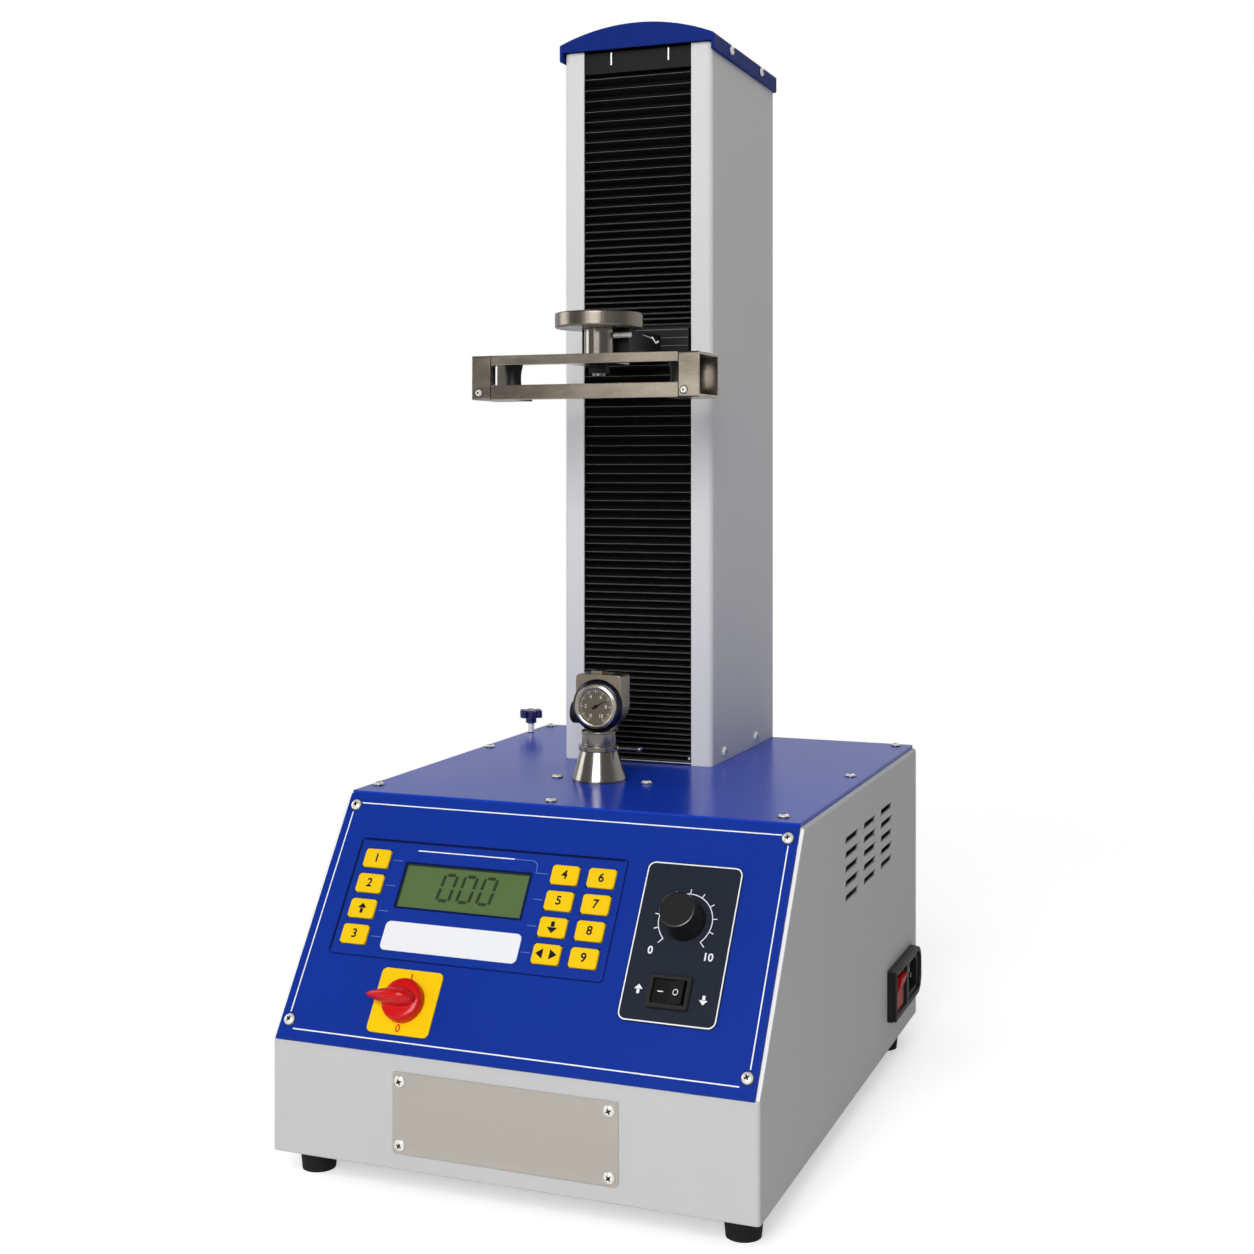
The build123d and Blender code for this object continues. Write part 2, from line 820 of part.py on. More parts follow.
# Switch body and potentiometer behind the panel, each bored for its spindle
with BuildPart() as panel_controls:
    bore_d = spindle_d + 2 * shaft_gap
    with BuildSketch(slope_plane.offset(-stop_body_l)):
        with Locations((stop_x, stop_v + stop_body_shift)):
            Rectangle(stop_body_w, stop_body_h)
    extrude(amount=stop_body_l)
    with BuildSketch(slope_plane.offset(-pot_l)):
        with Locations((speed_x, speed_knob_v)):
            Circle(pot_d / 2)
    extrude(amount=pot_l)
    with BuildSketch(slope_plane):
        with Locations((stop_x, stop_v), (speed_x, speed_knob_v)):
            Circle(bore_d / 2)
    extrude(amount=-spindle_l, mode=Mode.SUBTRACT)
finish(panel_controls, "panel_controls")

# Bezel and housing of the direction rocker
with BuildPart() as rocker_bezel:
    bezel_base = panel_thick + label_thick
    housing_w = bezel_w - 2 * bezel_skirt - 2 * seat_gap
    housing_h = bezel_h - 2 * bezel_skirt - 2 * seat_gap
    cavity_w = bezel_w - 2 * bezel_rim
    cavity_h = bezel_h - 2 * bezel_rim
    with BuildSketch(slope_plane.offset(bezel_base)):
        with Locations((rocker_x, rocker_v)):
            RectangleRounded(bezel_w, bezel_h, bezel_round)
    extrude(amount=bezel_proud)
    top_face = max(rocker_bezel.faces(), key=lambda face: face.center().dot(slope_plane.z_dir))
    chamfer(top_face.edges(), length=bezel_bevel)
    with BuildSketch(slope_plane.offset(bezel_base)):
        with Locations((rocker_x, rocker_v)):
            Rectangle(housing_w, housing_h)
    extrude(amount=-bezel_depth)
    with BuildSketch(slope_plane.offset(bezel_base + bezel_proud)):
        with Locations((rocker_x, rocker_v)):
            Rectangle(cavity_w, cavity_h)
    extrude(amount=-bezel_depth, mode=Mode.SUBTRACT)
    rocker_tilt = radians(rocker_angle)
    pivot_plane = Plane(
        origin=slope_plane.from_local_coords(
            (rocker_x, rocker_v, bezel_base - rocker_pivot_drop)
        ),
        x_dir=slope_plane.x_dir * cos(rocker_tilt) + slope_plane.z_dir * sin(rocker_tilt),
        z_dir=-slope_plane.y_dir,
    )
    with BuildSketch(pivot_plane.offset(-bezel_h)):
        Circle(trunnion_d / 2 + run_gap)
    extrude(amount=2 * bezel_h, mode=Mode.SUBTRACT)
finish(rocker_bezel, "rocker_bezel")

# Direction rocker on two trunnions, at rest on its left half
with BuildPart() as direction_rocker:
    rocker_span = cavity_h - 2 * run_gap
    with BuildSketch(pivot_plane.offset(-rocker_span / 2)):
        with BuildLine():
            Polyline(
                *rocker_outline(cavity_w / 2 - run_gap, rocker_rise, rocker_angle), close=True
            )
        make_face()
    extrude(amount=rocker_span)
    with BuildSketch(pivot_plane.offset(-rocker_span / 2 - trunnion_l)):
        Circle(trunnion_d / 2)
    extrude(amount=rocker_span + 2 * trunnion_l)
finish(direction_rocker, "direction_rocker")

# Mains inlet: a flange with a rounded rear end, a rocker well and a socket with its pins
with BuildPart() as power_inlet:
    flange_plane = Plane(
        origin=(half_w, inlet_y, inlet_z), x_dir=(0, 1, 0), z_dir=(1, 0, 0)
    )
    with BuildSketch(flange_plane):
        Rectangle(inlet_w, inlet_h)
        rear_corners = [vertex for vertex in vertices() if vertex.X > 0]
        fillet(rear_corners, radius=inlet_round)
    extrude(amount=inlet_proud)
    chamfer(power_inlet.faces().sort_by(Axis.X)[-1].edges(), length=inlet_bevel)
    with BuildSketch(flange_plane):
        Rectangle(inlet_w - 2 * inlet_body_gap, inlet_h - 2 * inlet_body_gap)
    extrude(amount=-inlet_body_l)
    well_y = -inlet_w / 2 + power_rocker_front + power_rocker_w / 2
    with BuildSketch(flange_plane.offset(inlet_proud)):
        with Locations((well_y, 0)):
            Rectangle(power_rocker_w + 2 * run_gap, power_rocker_h + 2 * run_gap)
    extrude(amount=-inlet_proud - power_well_depth, mode=Mode.SUBTRACT)
    socket_y = inlet_w / 2 - socket_back - socket_w / 2
    with BuildSketch(flange_plane.offset(inlet_proud)):
        with Locations((socket_y, 0)):
            Rectangle(socket_w, socket_h)
        mouth_corners = [vertex for vertex in vertices() if vertex.Y > 0]
        chamfer(mouth_corners, length=socket_chamfer)
    extrude(amount=-socket_depth, mode=Mode.SUBTRACT)
    power_tilt = radians(power_angle)
    power_pivot = Plane(
        origin=(half_w + inlet_proud - power_pivot_drop, inlet_y + well_y, inlet_z),
        x_dir=(sin(power_tilt), 0, cos(power_tilt)),
        z_dir=(0, 1, 0),
    )
    with BuildSketch(power_pivot.offset(-power_rocker_w / 2 - trunnion_l - run_gap)):
        Circle(trunnion_d / 2 + run_gap)
    extrude(amount=power_rocker_w + 2 * trunnion_l + 2 * run_gap, mode=Mode.SUBTRACT)
finish(power_inlet, "power_inlet")

# The socket's three flat pins
with BuildPart() as inlet_pins:
    with BuildSketch(flange_plane.offset(inlet_proud - socket_depth)):
        with Locations(
            (socket_y - pin_spread, -pin_drop),
            (socket_y, pin_drop),
            (socket_y + pin_spread, -pin_drop),
        ):
            Rectangle(pin_w, pin_h)
    extrude(amount=pin_l)
finish(inlet_pins, "inlet_pins")

# Red mains rocker, at rest on its lower half
with BuildPart() as power_rocker:
    with BuildSketch(power_pivot.offset(-power_rocker_w / 2)):
        with BuildLine():
            Polyline(
                *rocker_outline(power_rocker_h / 2 - run_gap, power_rocker_rise, power_angle),
                close=True,
            )
        make_face()
    extrude(amount=power_rocker_w)
    with BuildSketch(power_pivot.offset(-power_rocker_w / 2 - trunnion_l)):
        Circle(trunnion_d / 2)
    extrude(amount=power_rocker_w + 2 * trunnion_l)
finish(power_rocker, "power_rocker")

# Column cover, one folded sheet round both sides and the back, open in front for the bellows
with BuildPart() as column_cover:
    with BuildSketch(Plane.XY.offset(deck_z)):
        with Locations((column_x, (column_front_y + back_y) / 2)):
            Rectangle(column_w, column_depth)
            front_corners = [
                vertex for vertex in vertices() if vertex.Y < column_front_y + pick_margin
            ]
            fillet(front_corners, radius=column_round)
            Rectangle(
                column_w - 2 * column_sheet, column_depth - 2 * column_sheet, mode=Mode.SUBTRACT
            )
        with Locations((column_x, column_front_y)):
            Rectangle(column_w - 2 * column_strip, 4 * column_sheet, mode=Mode.SUBTRACT)
    extrude(amount=column_height)
finish(column_cover, "column_cover")

# Arched blue cap with skirts down both sides
with BuildPart() as column_cap:
    cap_w = column_w + 2 * cap_overhang
    cap_front = column_front_y - cap_front_lap
    cap_back = back_y + cap_overhang
    cap_plane = Plane(origin=(column_x, cap_front, column_top), x_dir=(1, 0, 0), z_dir=(0, -1, 0))
    with BuildSketch(cap_plane):
        with BuildLine():
            left_foot = (-cap_w / 2, cap_shoulder - cap_skirt)
            right_foot = (cap_w / 2, cap_shoulder - cap_skirt)
            left_eave = (-cap_w / 2, cap_shoulder)
            right_eave = (cap_w / 2, cap_shoulder)
            Line(right_foot, right_eave)
            ThreePointArc(right_eave, (0, cap_shoulder + cap_rise), left_eave)
            Line(left_eave, left_foot)
            Line(left_foot, right_foot)
        make_face()
    extrude(amount=cap_front - cap_back)
    with BuildSketch(cap_plane.offset(-cap_thick)):
        with BuildLine():
            inner = cap_w / 2 - cap_thick
            below = cap_shoulder - cap_skirt - lap
            Line((-inner, below), (inner, below))
            Line((inner, below), (inner, cap_shoulder))
            ThreePointArc(
                (inner, cap_shoulder), (0, cap_shoulder + cap_rise - cap_thick), (-inner, cap_shoulder)
            )
            Line((-inner, cap_shoulder), (-inner, below))
        make_face()
    extrude(amount=cap_front - cap_back + 2 * cap_thick, mode=Mode.SUBTRACT)
    with BuildSketch(cap_plane):
        with Locations((0, cap_shoulder - cap_skirt)):
            Rectangle(cap_w - 2 * cap_thick, 2 * (cap_skirt - cap_shoulder))
    extrude(amount=-cap_thick, mode=Mode.SUBTRACT)
finish(column_cap, "column_cap")

# Pan-head screws of the cap and of the column's foot, through both sides
with BuildPart() as column_screws:
    rows = (
        (cap_screw_setback, cap_screw_pitch, column_top + cap_screw_lift, cap_w / 2),
        (foot_screw_setback, foot_screw_pitch, deck_z + foot_screw_lift, column_w / 2),
    )
    for side in (-1, 1):
        for setback, pitch, z, out in rows:
            side_plane = Plane(
                origin=(column_x + side * out, column_front_y + setback, z),
                x_dir=(0, 1, 0),
                z_dir=(side, 0, 0),
            )
            with BuildSketch(side_plane):
                with Locations((0, 0), (pitch, 0)):
                    Circle(screw_head_d / 2)
            extrude(amount=screw_head_h, taper=screw_taper)
finish(column_screws, "column_screws")


def fold_heights(low, high, folds):
    """Heights of the creases, closer together towards the bottom."""
    steps = [index / (2 * folds) for index in range(2 * folds + 1)]
    span = high - low
    return [low + span * (fold_grading * t + (1 - fold_grading) * t * t) for t in steps]


def bellows_outline(low, high, folds):
    """Side view of a pleated skin between two heights."""
    near = column_front_y + column_sheet + bellows_recess
    far = near + bellows_depth - bellows_skin
    heights = fold_heights(low + bellows_end, high - bellows_end, folds)
    line = [(near if index % 2 else far, z) for index, z in enumerate(heights)]
    back = [(y + bellows_skin, z) for y, z in reversed(line)]
    return line + back


def make_bellows(low, high, folds, head, name):
    """A pleated bellows between a thin foot plate and a head frame."""
    middle = column_front_y + column_sheet + bellows_recess + bellows_depth / 2
    with BuildPart() as bellows:
        with BuildSketch(Plane.YZ.offset(column_x)):
            with BuildLine():
                Polyline(*bellows_outline(low, high - head, folds), close=True)
            make_face()
            with Locations((middle, low + (bellows_end + lap) / 2)):
                Rectangle(bellows_depth, bellows_end + lap)
            with Locations((middle, high - (head + bellows_end + lap) / 2)):
                Rectangle(bellows_depth, head + bellows_end + lap)
        extrude(amount=bellows_w / 2, both=True)
    finish(bellows, name)


make_bellows(deck_z, crosshead_z - plate_half, lower_folds, 0, "lower_bellows")
make_bellows(
    crosshead_z + plate_half, column_top - bellows_head_gap, upper_folds, bellows_head, "upper_bellows"
)

# Bearing blocks at the foot and the head of the column
rod_places = [(column_x - rod_spread / 2, drive_y), (column_x + rod_spread / 2, drive_y)]
block_low_z = deck_z
block_high_z = column_top - bearing_h - bearing_drop
with BuildPart() as bearing_blocks:
    for block_z in (block_low_z, block_high_z):
        with BuildSketch(Plane.XY.offset(block_z)):
            with Locations((column_x, drive_y)):
                Rectangle(bearing_w, bearing_depth)
            with Locations(*rod_places):
                Circle(rod_d / 2 + fit_gap, mode=Mode.SUBTRACT)
            with Locations((column_x, drive_y)):
                Circle(screw_d / 2 + shaft_gap, mode=Mode.SUBTRACT)
        extrude(amount=bearing_h)
finish(bearing_blocks, "bearing_blocks")

# Guide rods
with BuildPart() as guide_rods:
    with BuildSketch(Plane.XY.offset(block_low_z)):
        with Locations(*rod_places):
            Circle(rod_d / 2)
    extrude(amount=block_high_z + bearing_h - block_low_z)
finish(guide_rods, "guide_rods")

# Lead screw, shaft coupling and the motor on its posts
coupling_top = top_z - coupling_drop
with BuildPart() as lead_screw:
    with BuildSketch(Plane.XY.offset(coupling_top)):
        with Locations((column_x, drive_y)):
            Circle(screw_d / 2)
    extrude(amount=block_high_z + bearing_h - coupling_top)
finish(lead_screw, "lead_screw")

with BuildPart() as shaft_coupling:
    with BuildSketch(Plane.XY.offset(coupling_top - coupling_l)):
        with Locations((column_x, drive_y)):
            Circle(coupling_d / 2)
    extrude(amount=coupling_l)
    motor_top = coupling_top - coupling_l - motor_gap
    with BuildSketch(Plane.XY.offset(motor_top - motor_shaft_l)):
        with Locations((column_x, drive_y)):
            Circle(motor_shaft_d / 2)
    extrude(amount=motor_shaft_l + motor_gap)
finish(shaft_coupling, "shaft_coupling")

with BuildPart() as drive_motor:
    with BuildSketch(Plane.XY.offset(motor_top - motor_l)):
        with Locations((column_x, drive_y)):
            RectangleRounded(motor_w, motor_w, motor_round)
    extrude(amount=motor_l)
    with BuildSketch(Plane.XY.offset(motor_top)):
        with Locations((column_x, drive_y)):
            Circle(motor_shaft_d / 2 + shaft_gap)
    extrude(amount=-motor_shaft_l - motor_bore_gap, mode=Mode.SUBTRACT)
    with BuildSketch(Plane.XY.offset(motor_top)):
        with Locations((column_x, drive_y)):
            with GridLocations(motor_post_spread, motor_post_spread, 2, 2):
                Circle(motor_post_d / 2)
    extrude(amount=top_z - motor_top)
finish(drive_motor, "drive_motor")

# Carriage on the rods, with the nut pressed up from below
with BuildPart() as carriage:
    carriage_low = crosshead_z - carriage_h / 2
    with BuildSketch(Plane.XY.offset(carriage_low)):
        with Locations((column_x, drive_y)):
            Rectangle(carriage_w, carriage_depth)
        with Locations(*rod_places):
            Circle(rod_d / 2 + run_gap, mode=Mode.SUBTRACT)
        with Locations((column_x, drive_y)):
            Circle(nut_d / 2 + fit_gap, mode=Mode.SUBTRACT)
    extrude(amount=carriage_h)
finish(carriage, "carriage")

with BuildPart() as lead_nut:
    with BuildSketch(Plane.XY.offset(carriage_low - nut_flange_h)):
        with Locations((column_x, drive_y)):
            Circle(nut_flange_d / 2)
            Circle(screw_d / 2 + shaft_gap, mode=Mode.SUBTRACT)
    extrude(amount=nut_flange_h)
    with BuildSketch(Plane.XY.offset(carriage_low)):
        with Locations((column_x, drive_y)):
            Circle(nut_d / 2)
            Circle(screw_d / 2 + shaft_gap, mode=Mode.SUBTRACT)
    extrude(amount=nut_l)
finish(lead_nut, "lead_nut")

# Crosshead: plate between the bellows, neck to the carriage and arm to the load cell
with BuildPart() as crosshead_arm:
    plate_front = column_front_y - crosshead_proud
    plate_back = column_front_y + column_sheet + bellows_recess + bellows_depth
    arm_end = axis_y + stem_d / 2 + stem_gap
    with BuildSketch(Plane.XY.offset(crosshead_z - plate_half)):
        with Locations((column_x, (plate_front + plate_back) / 2)):
            Rectangle(crosshead_w, plate_back - plate_front)
    extrude(amount=crosshead_h)
    with BuildSketch(Plane.XY.offset(crosshead_z - plate_half)):
        with Locations((axis_x, (arm_end + plate_front) / 2)):
            Rectangle(arm_w, plate_front - arm_end)
    extrude(amount=arm_h)
    neck_back = drive_y - carriage_depth / 2
    with BuildSketch(Plane.XY.offset(crosshead_z - plate_half + crosshead_neck_inset)):
        with Locations((column_x, (plate_back + neck_back) / 2)):
            Rectangle(crosshead_neck_w, neck_back - plate_back)
    extrude(amount=crosshead_h - 2 * crosshead_neck_inset)
finish(crosshead_arm, "crosshead_arm")

# Load cell disc on the arm
with BuildPart() as load_cell:
    with BuildSketch(Plane.XY.offset(arm_top)):
        with Locations((axis_x, axis_y)):
            Circle(cell_d / 2)
    extrude(amount=cell_h)
    chamfer(load_cell.edges().filter_by(GeomType.CIRCLE), length=cell_bevel)
finish(load_cell, "load_cell")

# Stem between the load cell and the peel frame, with its thread and nut below the hub
hub_bottom = frame_top - upper_bar_h
with BuildPart() as fixture_stem:
    with BuildSketch(Plane.XY.offset(frame_top)):
        with Locations((axis_x, axis_y)):
            Circle(stem_d / 2)
    extrude(amount=arm_top - frame_top)
    with BuildSketch(Plane.XY.offset(hub_bottom - stem_nut_h - stem_thread_tail)):
        with Locations((axis_x, axis_y)):
            Circle(stem_thread_d / 2)
    extrude(amount=upper_bar_h + stem_nut_h + stem_thread_tail)
    with BuildSketch(Plane.XY.offset(hub_bottom - stem_nut_h)):
        with Locations((axis_x, axis_y)):
            RegularPolygon(stem_nut_d / 2, 6)
    extrude(amount=stem_nut_h)
finish(fixture_stem, "fixture_stem")

# Peel frame: slotted front plate with a hub on its upper bar and a tenon at each end
bar_l = frame_l - 2 * end_l
plate_y = frame_front + bar_thick / 2
slot_h = frame_h - upper_bar_h - lower_bar_h
frame_face = Plane(origin=(frame_x, frame_front, frame_bottom), x_dir=(1, 0, 0), z_dir=(0, -1, 0))
frame_screw_spots = [
    (-frame_l / 2 + frame_screw_left, frame_screw_lift),
    (frame_l / 2 - frame_screw_right, frame_screw_lift),
]
frame_mid_z = (frame_top + frame_bottom) / 2
with BuildPart() as peel_frame:
    with BuildSketch(Plane.XY.offset(frame_bottom)):
        with Locations((frame_x, plate_y)):
            Rectangle(bar_l, bar_thick)
    extrude(amount=frame_h)
    with BuildSketch(Plane.XY.offset(frame_bottom + end_wall + seat_gap)):
        with Locations((frame_x, frame_front + (bar_thick + end_wall + seat_gap) / 2)):
            Rectangle(bar_l + 2 * bar_tenon, bar_thick - end_wall - seat_gap)
    extrude(amount=frame_h - 2 * end_wall - 2 * seat_gap)
    slot_plane = Plane(
        origin=(frame_x, frame_front, frame_bottom + lower_bar_h + slot_h / 2),
        x_dir=(1, 0, 0),
        z_dir=(0, -1, 0),
    )
    with BuildSketch(slot_plane):
        RectangleRounded(bar_l, slot_h, frame_round)
    extrude(amount=-bar_thick, mode=Mode.SUBTRACT)
    with BuildSketch(Plane.XY.offset(hub_bottom)):
        hub_back = axis_y + hub_reach
        with Locations((axis_x, (frame_front + bar_thick + hub_back) / 2)):
            Rectangle(hub_w, hub_back - frame_front - bar_thick)
        with Locations((axis_x, axis_y)):
            Circle(stem_thread_d / 2 + fit_gap, mode=Mode.SUBTRACT)
    extrude(amount=upper_bar_h)
    with BuildSketch(frame_face):
        with Locations(*frame_screw_spots):
            Circle(frame_screw_shank_d / 2 + fit_gap)
    extrude(amount=-bar_thick, mode=Mode.SUBTRACT)
finish(peel_frame, "peel_frame")

# The two ends of the frame: square tubes with lugs that hold the roller pins
roller_places = {}
with BuildPart() as frame_ends:
    for side in (-1, 1):
        inner_x = frame_x + side * bar_l / 2
        outer_x = frame_x + side * frame_l / 2
        roller_x = inner_x - side * roller_inset
        roller_places[side] = roller_x
        mouth_plane = Plane(
            origin=(outer_x, axis_y, frame_mid_z), x_dir=(0, side, 0), z_dir=(side, 0, 0)
        )
        with BuildSketch(mouth_plane):
            RectangleRounded(frame_depth, frame_h, frame_round)
            Rectangle(
                frame_depth - 2 * end_wall, frame_h - 2 * end_wall, mode=Mode.SUBTRACT
            )
        extrude(amount=-end_l)
        lug_y0 = frame_front + bar_thick + lug_front_gap
        lug_y1 = axis_y + frame_depth / 2 - lug_setback
        for lug_z in (frame_bottom, frame_top - end_wall):
            with BuildSketch(Plane.XY.offset(lug_z)):
                with Locations((inner_x - side * end_lug / 2, (lug_y0 + lug_y1) / 2)):
                    Rectangle(end_lug, lug_y1 - lug_y0)
                with Locations((roller_x, axis_y)):
                    Circle(roller_pin_d / 2 + fit_gap, mode=Mode.SUBTRACT)
            extrude(amount=end_wall)
    with BuildSketch(frame_face):
        with Locations(*frame_screw_spots):
            Circle(frame_screw_shank_d / 2 + fit_gap)
    extrude(amount=-end_wall, mode=Mode.SUBTRACT)
finish(frame_ends, "frame_ends")

# Pins that the guide rollers turn on, and the screws that hold the ends to the tenons
with BuildPart() as frame_fasteners:
    with BuildSketch(Plane.XY.offset(frame_bottom)):
        with Locations(*[(x, axis_y) for x in roller_places.values()]):
            Circle(roller_pin_d / 2)
    extrude(amount=frame_h)
    with BuildSketch(frame_face):
        with Locations(*frame_screw_spots):
            Circle(frame_screw_d / 2)
    extrude(amount=frame_screw_h, taper=frame_screw_taper)
    with BuildSketch(frame_face):
        with Locations(*frame_screw_spots):
            Circle(frame_screw_shank_d / 2)
    extrude(amount=-frame_screw_shank_l)
finish(frame_fasteners, "frame_fasteners")

# Waisted guide rollers
roller_h = frame_h - 2 * end_wall - 2 * run_gap
for roller_name, roller_x in (
    ("guide_roller_left", roller_places[-1]),
    ("guide_roller_right", roller_places[1]),
):
    with BuildPart() as roller:
        roller_plane = Plane(
            origin=(roller_x, axis_y, frame_mid_z), x_dir=(1, 0, 0), z_dir=(0, -1, 0)
        )
        with BuildSketch(roller_plane):
            with BuildLine():
                bore_r = roller_pin_d / 2 + shaft_gap
                flange_r = roller_flange_d / 2
                waist_r = roller_waist_d / 2
                half_h = roller_h / 2
                Line((bore_r, -half_h), (flange_r, -half_h))
                Line((flange_r, -half_h), (flange_r, -half_h + roller_lip))
                ThreePointArc(
                    (flange_r, -half_h + roller_lip), (waist_r, 0), (flange_r, half_h - roller_lip)
                )
                Line((flange_r, half_h - roller_lip), (flange_r, half_h))
                Line((flange_r, half_h), (bore_r, half_h))
                Line((bore_r, half_h), (bore_r, -half_h))
            make_face()
        revolve(axis=Axis((roller_x, axis_y, frame_mid_z), (0, 0, 1)))
    finish(roller, roller_name)

# Cone that stands on the top plate
with BuildPart() as grip_base:
    with BuildSketch(Plane.XY.offset(deck_z)):
        with Locations((axis_x, axis_y)):
            Circle(grip_base_d / 2)
    extrude(amount=grip_base_rim)
    with BuildSketch(Plane.XY.offset(deck_z + grip_base_rim)):
        with Locations((axis_x, axis_y)):
            Circle(grip_base_d / 2)
    with BuildSketch(Plane.XY.offset(deck_z + grip_base_h)):
        with Locations((axis_x, axis_y)):
            Circle(grip_neck_d / 2)
    loft()
finish(grip_base, "grip_base")

# Locking lever: a collar round the spigot with a thin rod and a ball
with BuildPart() as locking_lever:
    with BuildSketch(Plane.XY.offset(collar_z + collar_gap)):
        with Locations((axis_x, axis_y)):
            Circle(collar_d / 2)
            Circle(grip_spigot_d / 2 + shaft_gap, mode=Mode.SUBTRACT)
    extrude(amount=collar_h)
    lever_plane = Plane(
        origin=(axis_x + collar_d / 2 - lever_root, axis_y, collar_z + collar_gap + collar_h / 2),
        x_dir=(0, 1, 0),
        z_dir=(1, 0, 0),
    )
    with BuildSketch(lever_plane):
        Circle(lever_d / 2)
    extrude(amount=lever_l - collar_d / 2 + lever_root)
    with Locations((axis_x + lever_l, axis_y, collar_z + collar_gap + collar_h / 2)):
        Sphere(lever_ball_d / 2)
finish(locking_lever, "locking_lever")

# Grip body: square above, round below, on its spigot, with a pocket for the jaws
with BuildPart() as grip_body:
    body_plane = Plane(origin=(axis_x, body_front, dial_z), x_dir=(1, 0, 0), z_dir=(0, -1, 0))
    half_body = grip_body_w / 2
    with BuildSketch(body_plane):
        Circle(half_body)
        with Locations((0, grip_top_rise / 2)):
            Rectangle(grip_body_w, grip_top_rise)
        top_corners = [
            vertex for vertex in vertices() if vertex.Y > grip_top_rise - pick_margin
        ]
        fillet(top_corners, radius=grip_round)
    extrude(amount=-grip_body_depth)
    spigot_top = dial_z - drum_d / 2 - seat_gap
    with BuildSketch(Plane.XY.offset(collar_z)):
        with Locations((axis_x, axis_y)):
            Circle(grip_spigot_d / 2)
    extrude(amount=spigot_top - collar_z)
    neck_depth = grip_front + grip_spigot_d / 2
    with BuildSketch(Plane.XY.offset(spigot_top)):
        with Locations((axis_x, body_front + neck_depth / 2)):
            Rectangle(grip_neck_w, neck_depth)
    extrude(amount=dial_z - half_body + grip_neck_lap - spigot_top)
    pocket_y = body_front + grip_body_depth / 2
    with BuildSketch(Plane.XY.offset(grip_top)):
        with Locations((axis_x, pocket_y)):
            Rectangle(pocket_w, pocket_depth)
    extrude(amount=-pocket_drop, mode=Mode.SUBTRACT)
    clamp_plane = Plane(
        origin=(axis_x - half_body, pocket_y, clamp_screw_z), x_dir=(0, 1, 0), z_dir=(1, 0, 0)
    )
    with BuildSketch(clamp_plane):
        Circle(clamp_screw_d / 2 + shaft_gap)
    extrude(amount=half_body, mode=Mode.SUBTRACT)
finish(grip_body, "grip_body")

# Moving jaw, pushed across the pocket by the clamp screw
jaw_left = axis_x - pocket_w / 2 + run_gap
jaw_bore_l = jaw_thick - jaw_wall
with BuildPart() as moving_jaw:
    jaw_bottom = grip_top - pocket_drop + run_gap
    with BuildSketch(Plane.XY.offset(jaw_bottom)):
        with Locations((jaw_left + jaw_thick / 2, pocket_y)):
            Rectangle(jaw_thick, pocket_depth - 2 * run_gap)
    extrude(amount=grip_top + jaw_rise - jaw_bottom)
    jaw_plane = Plane(
        origin=(jaw_left, pocket_y, clamp_screw_z), x_dir=(0, 1, 0), z_dir=(1, 0, 0)
    )
    with BuildSketch(jaw_plane):
        Circle(clamp_screw_d / 2 + shaft_gap)
    extrude(amount=jaw_bore_l, mode=Mode.SUBTRACT)
finish(moving_jaw, "moving_jaw")

# Clamp screw with its side knob
with BuildPart() as clamp_screw:
    knob_left = axis_x - half_body - run_gap - clamp_knob_l
    knob_plane = Plane(
        origin=(knob_left, pocket_y, clamp_screw_z), x_dir=(0, 1, 0), z_dir=(1, 0, 0)
    )
    with BuildSketch(knob_plane):
        Circle(clamp_knob_d / 2)
    extrude(amount=clamp_knob_l)
    chamfer(clamp_screw.edges().filter_by(GeomType.CIRCLE), length=clamp_knob_bevel)
    with BuildSketch(knob_plane.offset(clamp_knob_l)):
        Circle(clamp_screw_d / 2)
    extrude(amount=jaw_left + jaw_bore_l - run_gap - knob_left - clamp_knob_l)
finish(clamp_screw, "clamp_screw")

# Dial gauge: a flaring drum and a bezel round a recessed face
with BuildPart() as dial_gauge:
    gauge_profile = Plane(origin=(axis_x, body_front, dial_z), x_dir=(1, 0, 0), z_dir=(0, 0, 1))
    with BuildSketch(gauge_profile):
        with BuildLine():
            face_y = -drum_l - gauge_rim_l + dial_recess
            rim_y = -drum_l - gauge_rim_l
            rim_r = gauge_rim_d / 2
            Polyline(
                (0, 0),
                (drum_d / 2, 0),
                (drum_d / 2, -drum_rim),
                (rim_r, -drum_l),
                (rim_r, rim_y + gauge_rim_bevel),
                (rim_r - gauge_rim_bevel, rim_y),
                (dial_d / 2 + gauge_rim_bevel, rim_y),
                (dial_d / 2, rim_y + gauge_rim_bevel),
                (dial_d / 2, face_y),
                (0, face_y),
                close=True,
            )
        make_face()
    revolve(axis=Axis((axis_x, body_front, dial_z), (0, 1, 0)))
finish(dial_gauge, "dial_gauge")

# Dial needle with its hub and tail
with BuildPart() as dial_needle:
    needle_turn = radians(90 - needle_angle)
    needle_plane = Plane(
        origin=(axis_x, body_front + face_y - run_gap, dial_z),
        x_dir=(cos(needle_turn), 0, sin(needle_turn)),
        z_dir=(0, -1, 0),
    )
    with BuildSketch(needle_plane):
        Circle(needle_hub_d / 2)
        with BuildLine():
            Polyline(
                (needle_l, 0), (-needle_tail, needle_w / 2), (-needle_tail, -needle_w / 2), close=True
            )
        make_face()
    extrude(amount=needle_thick)
finish(dial_needle, "dial_needle")

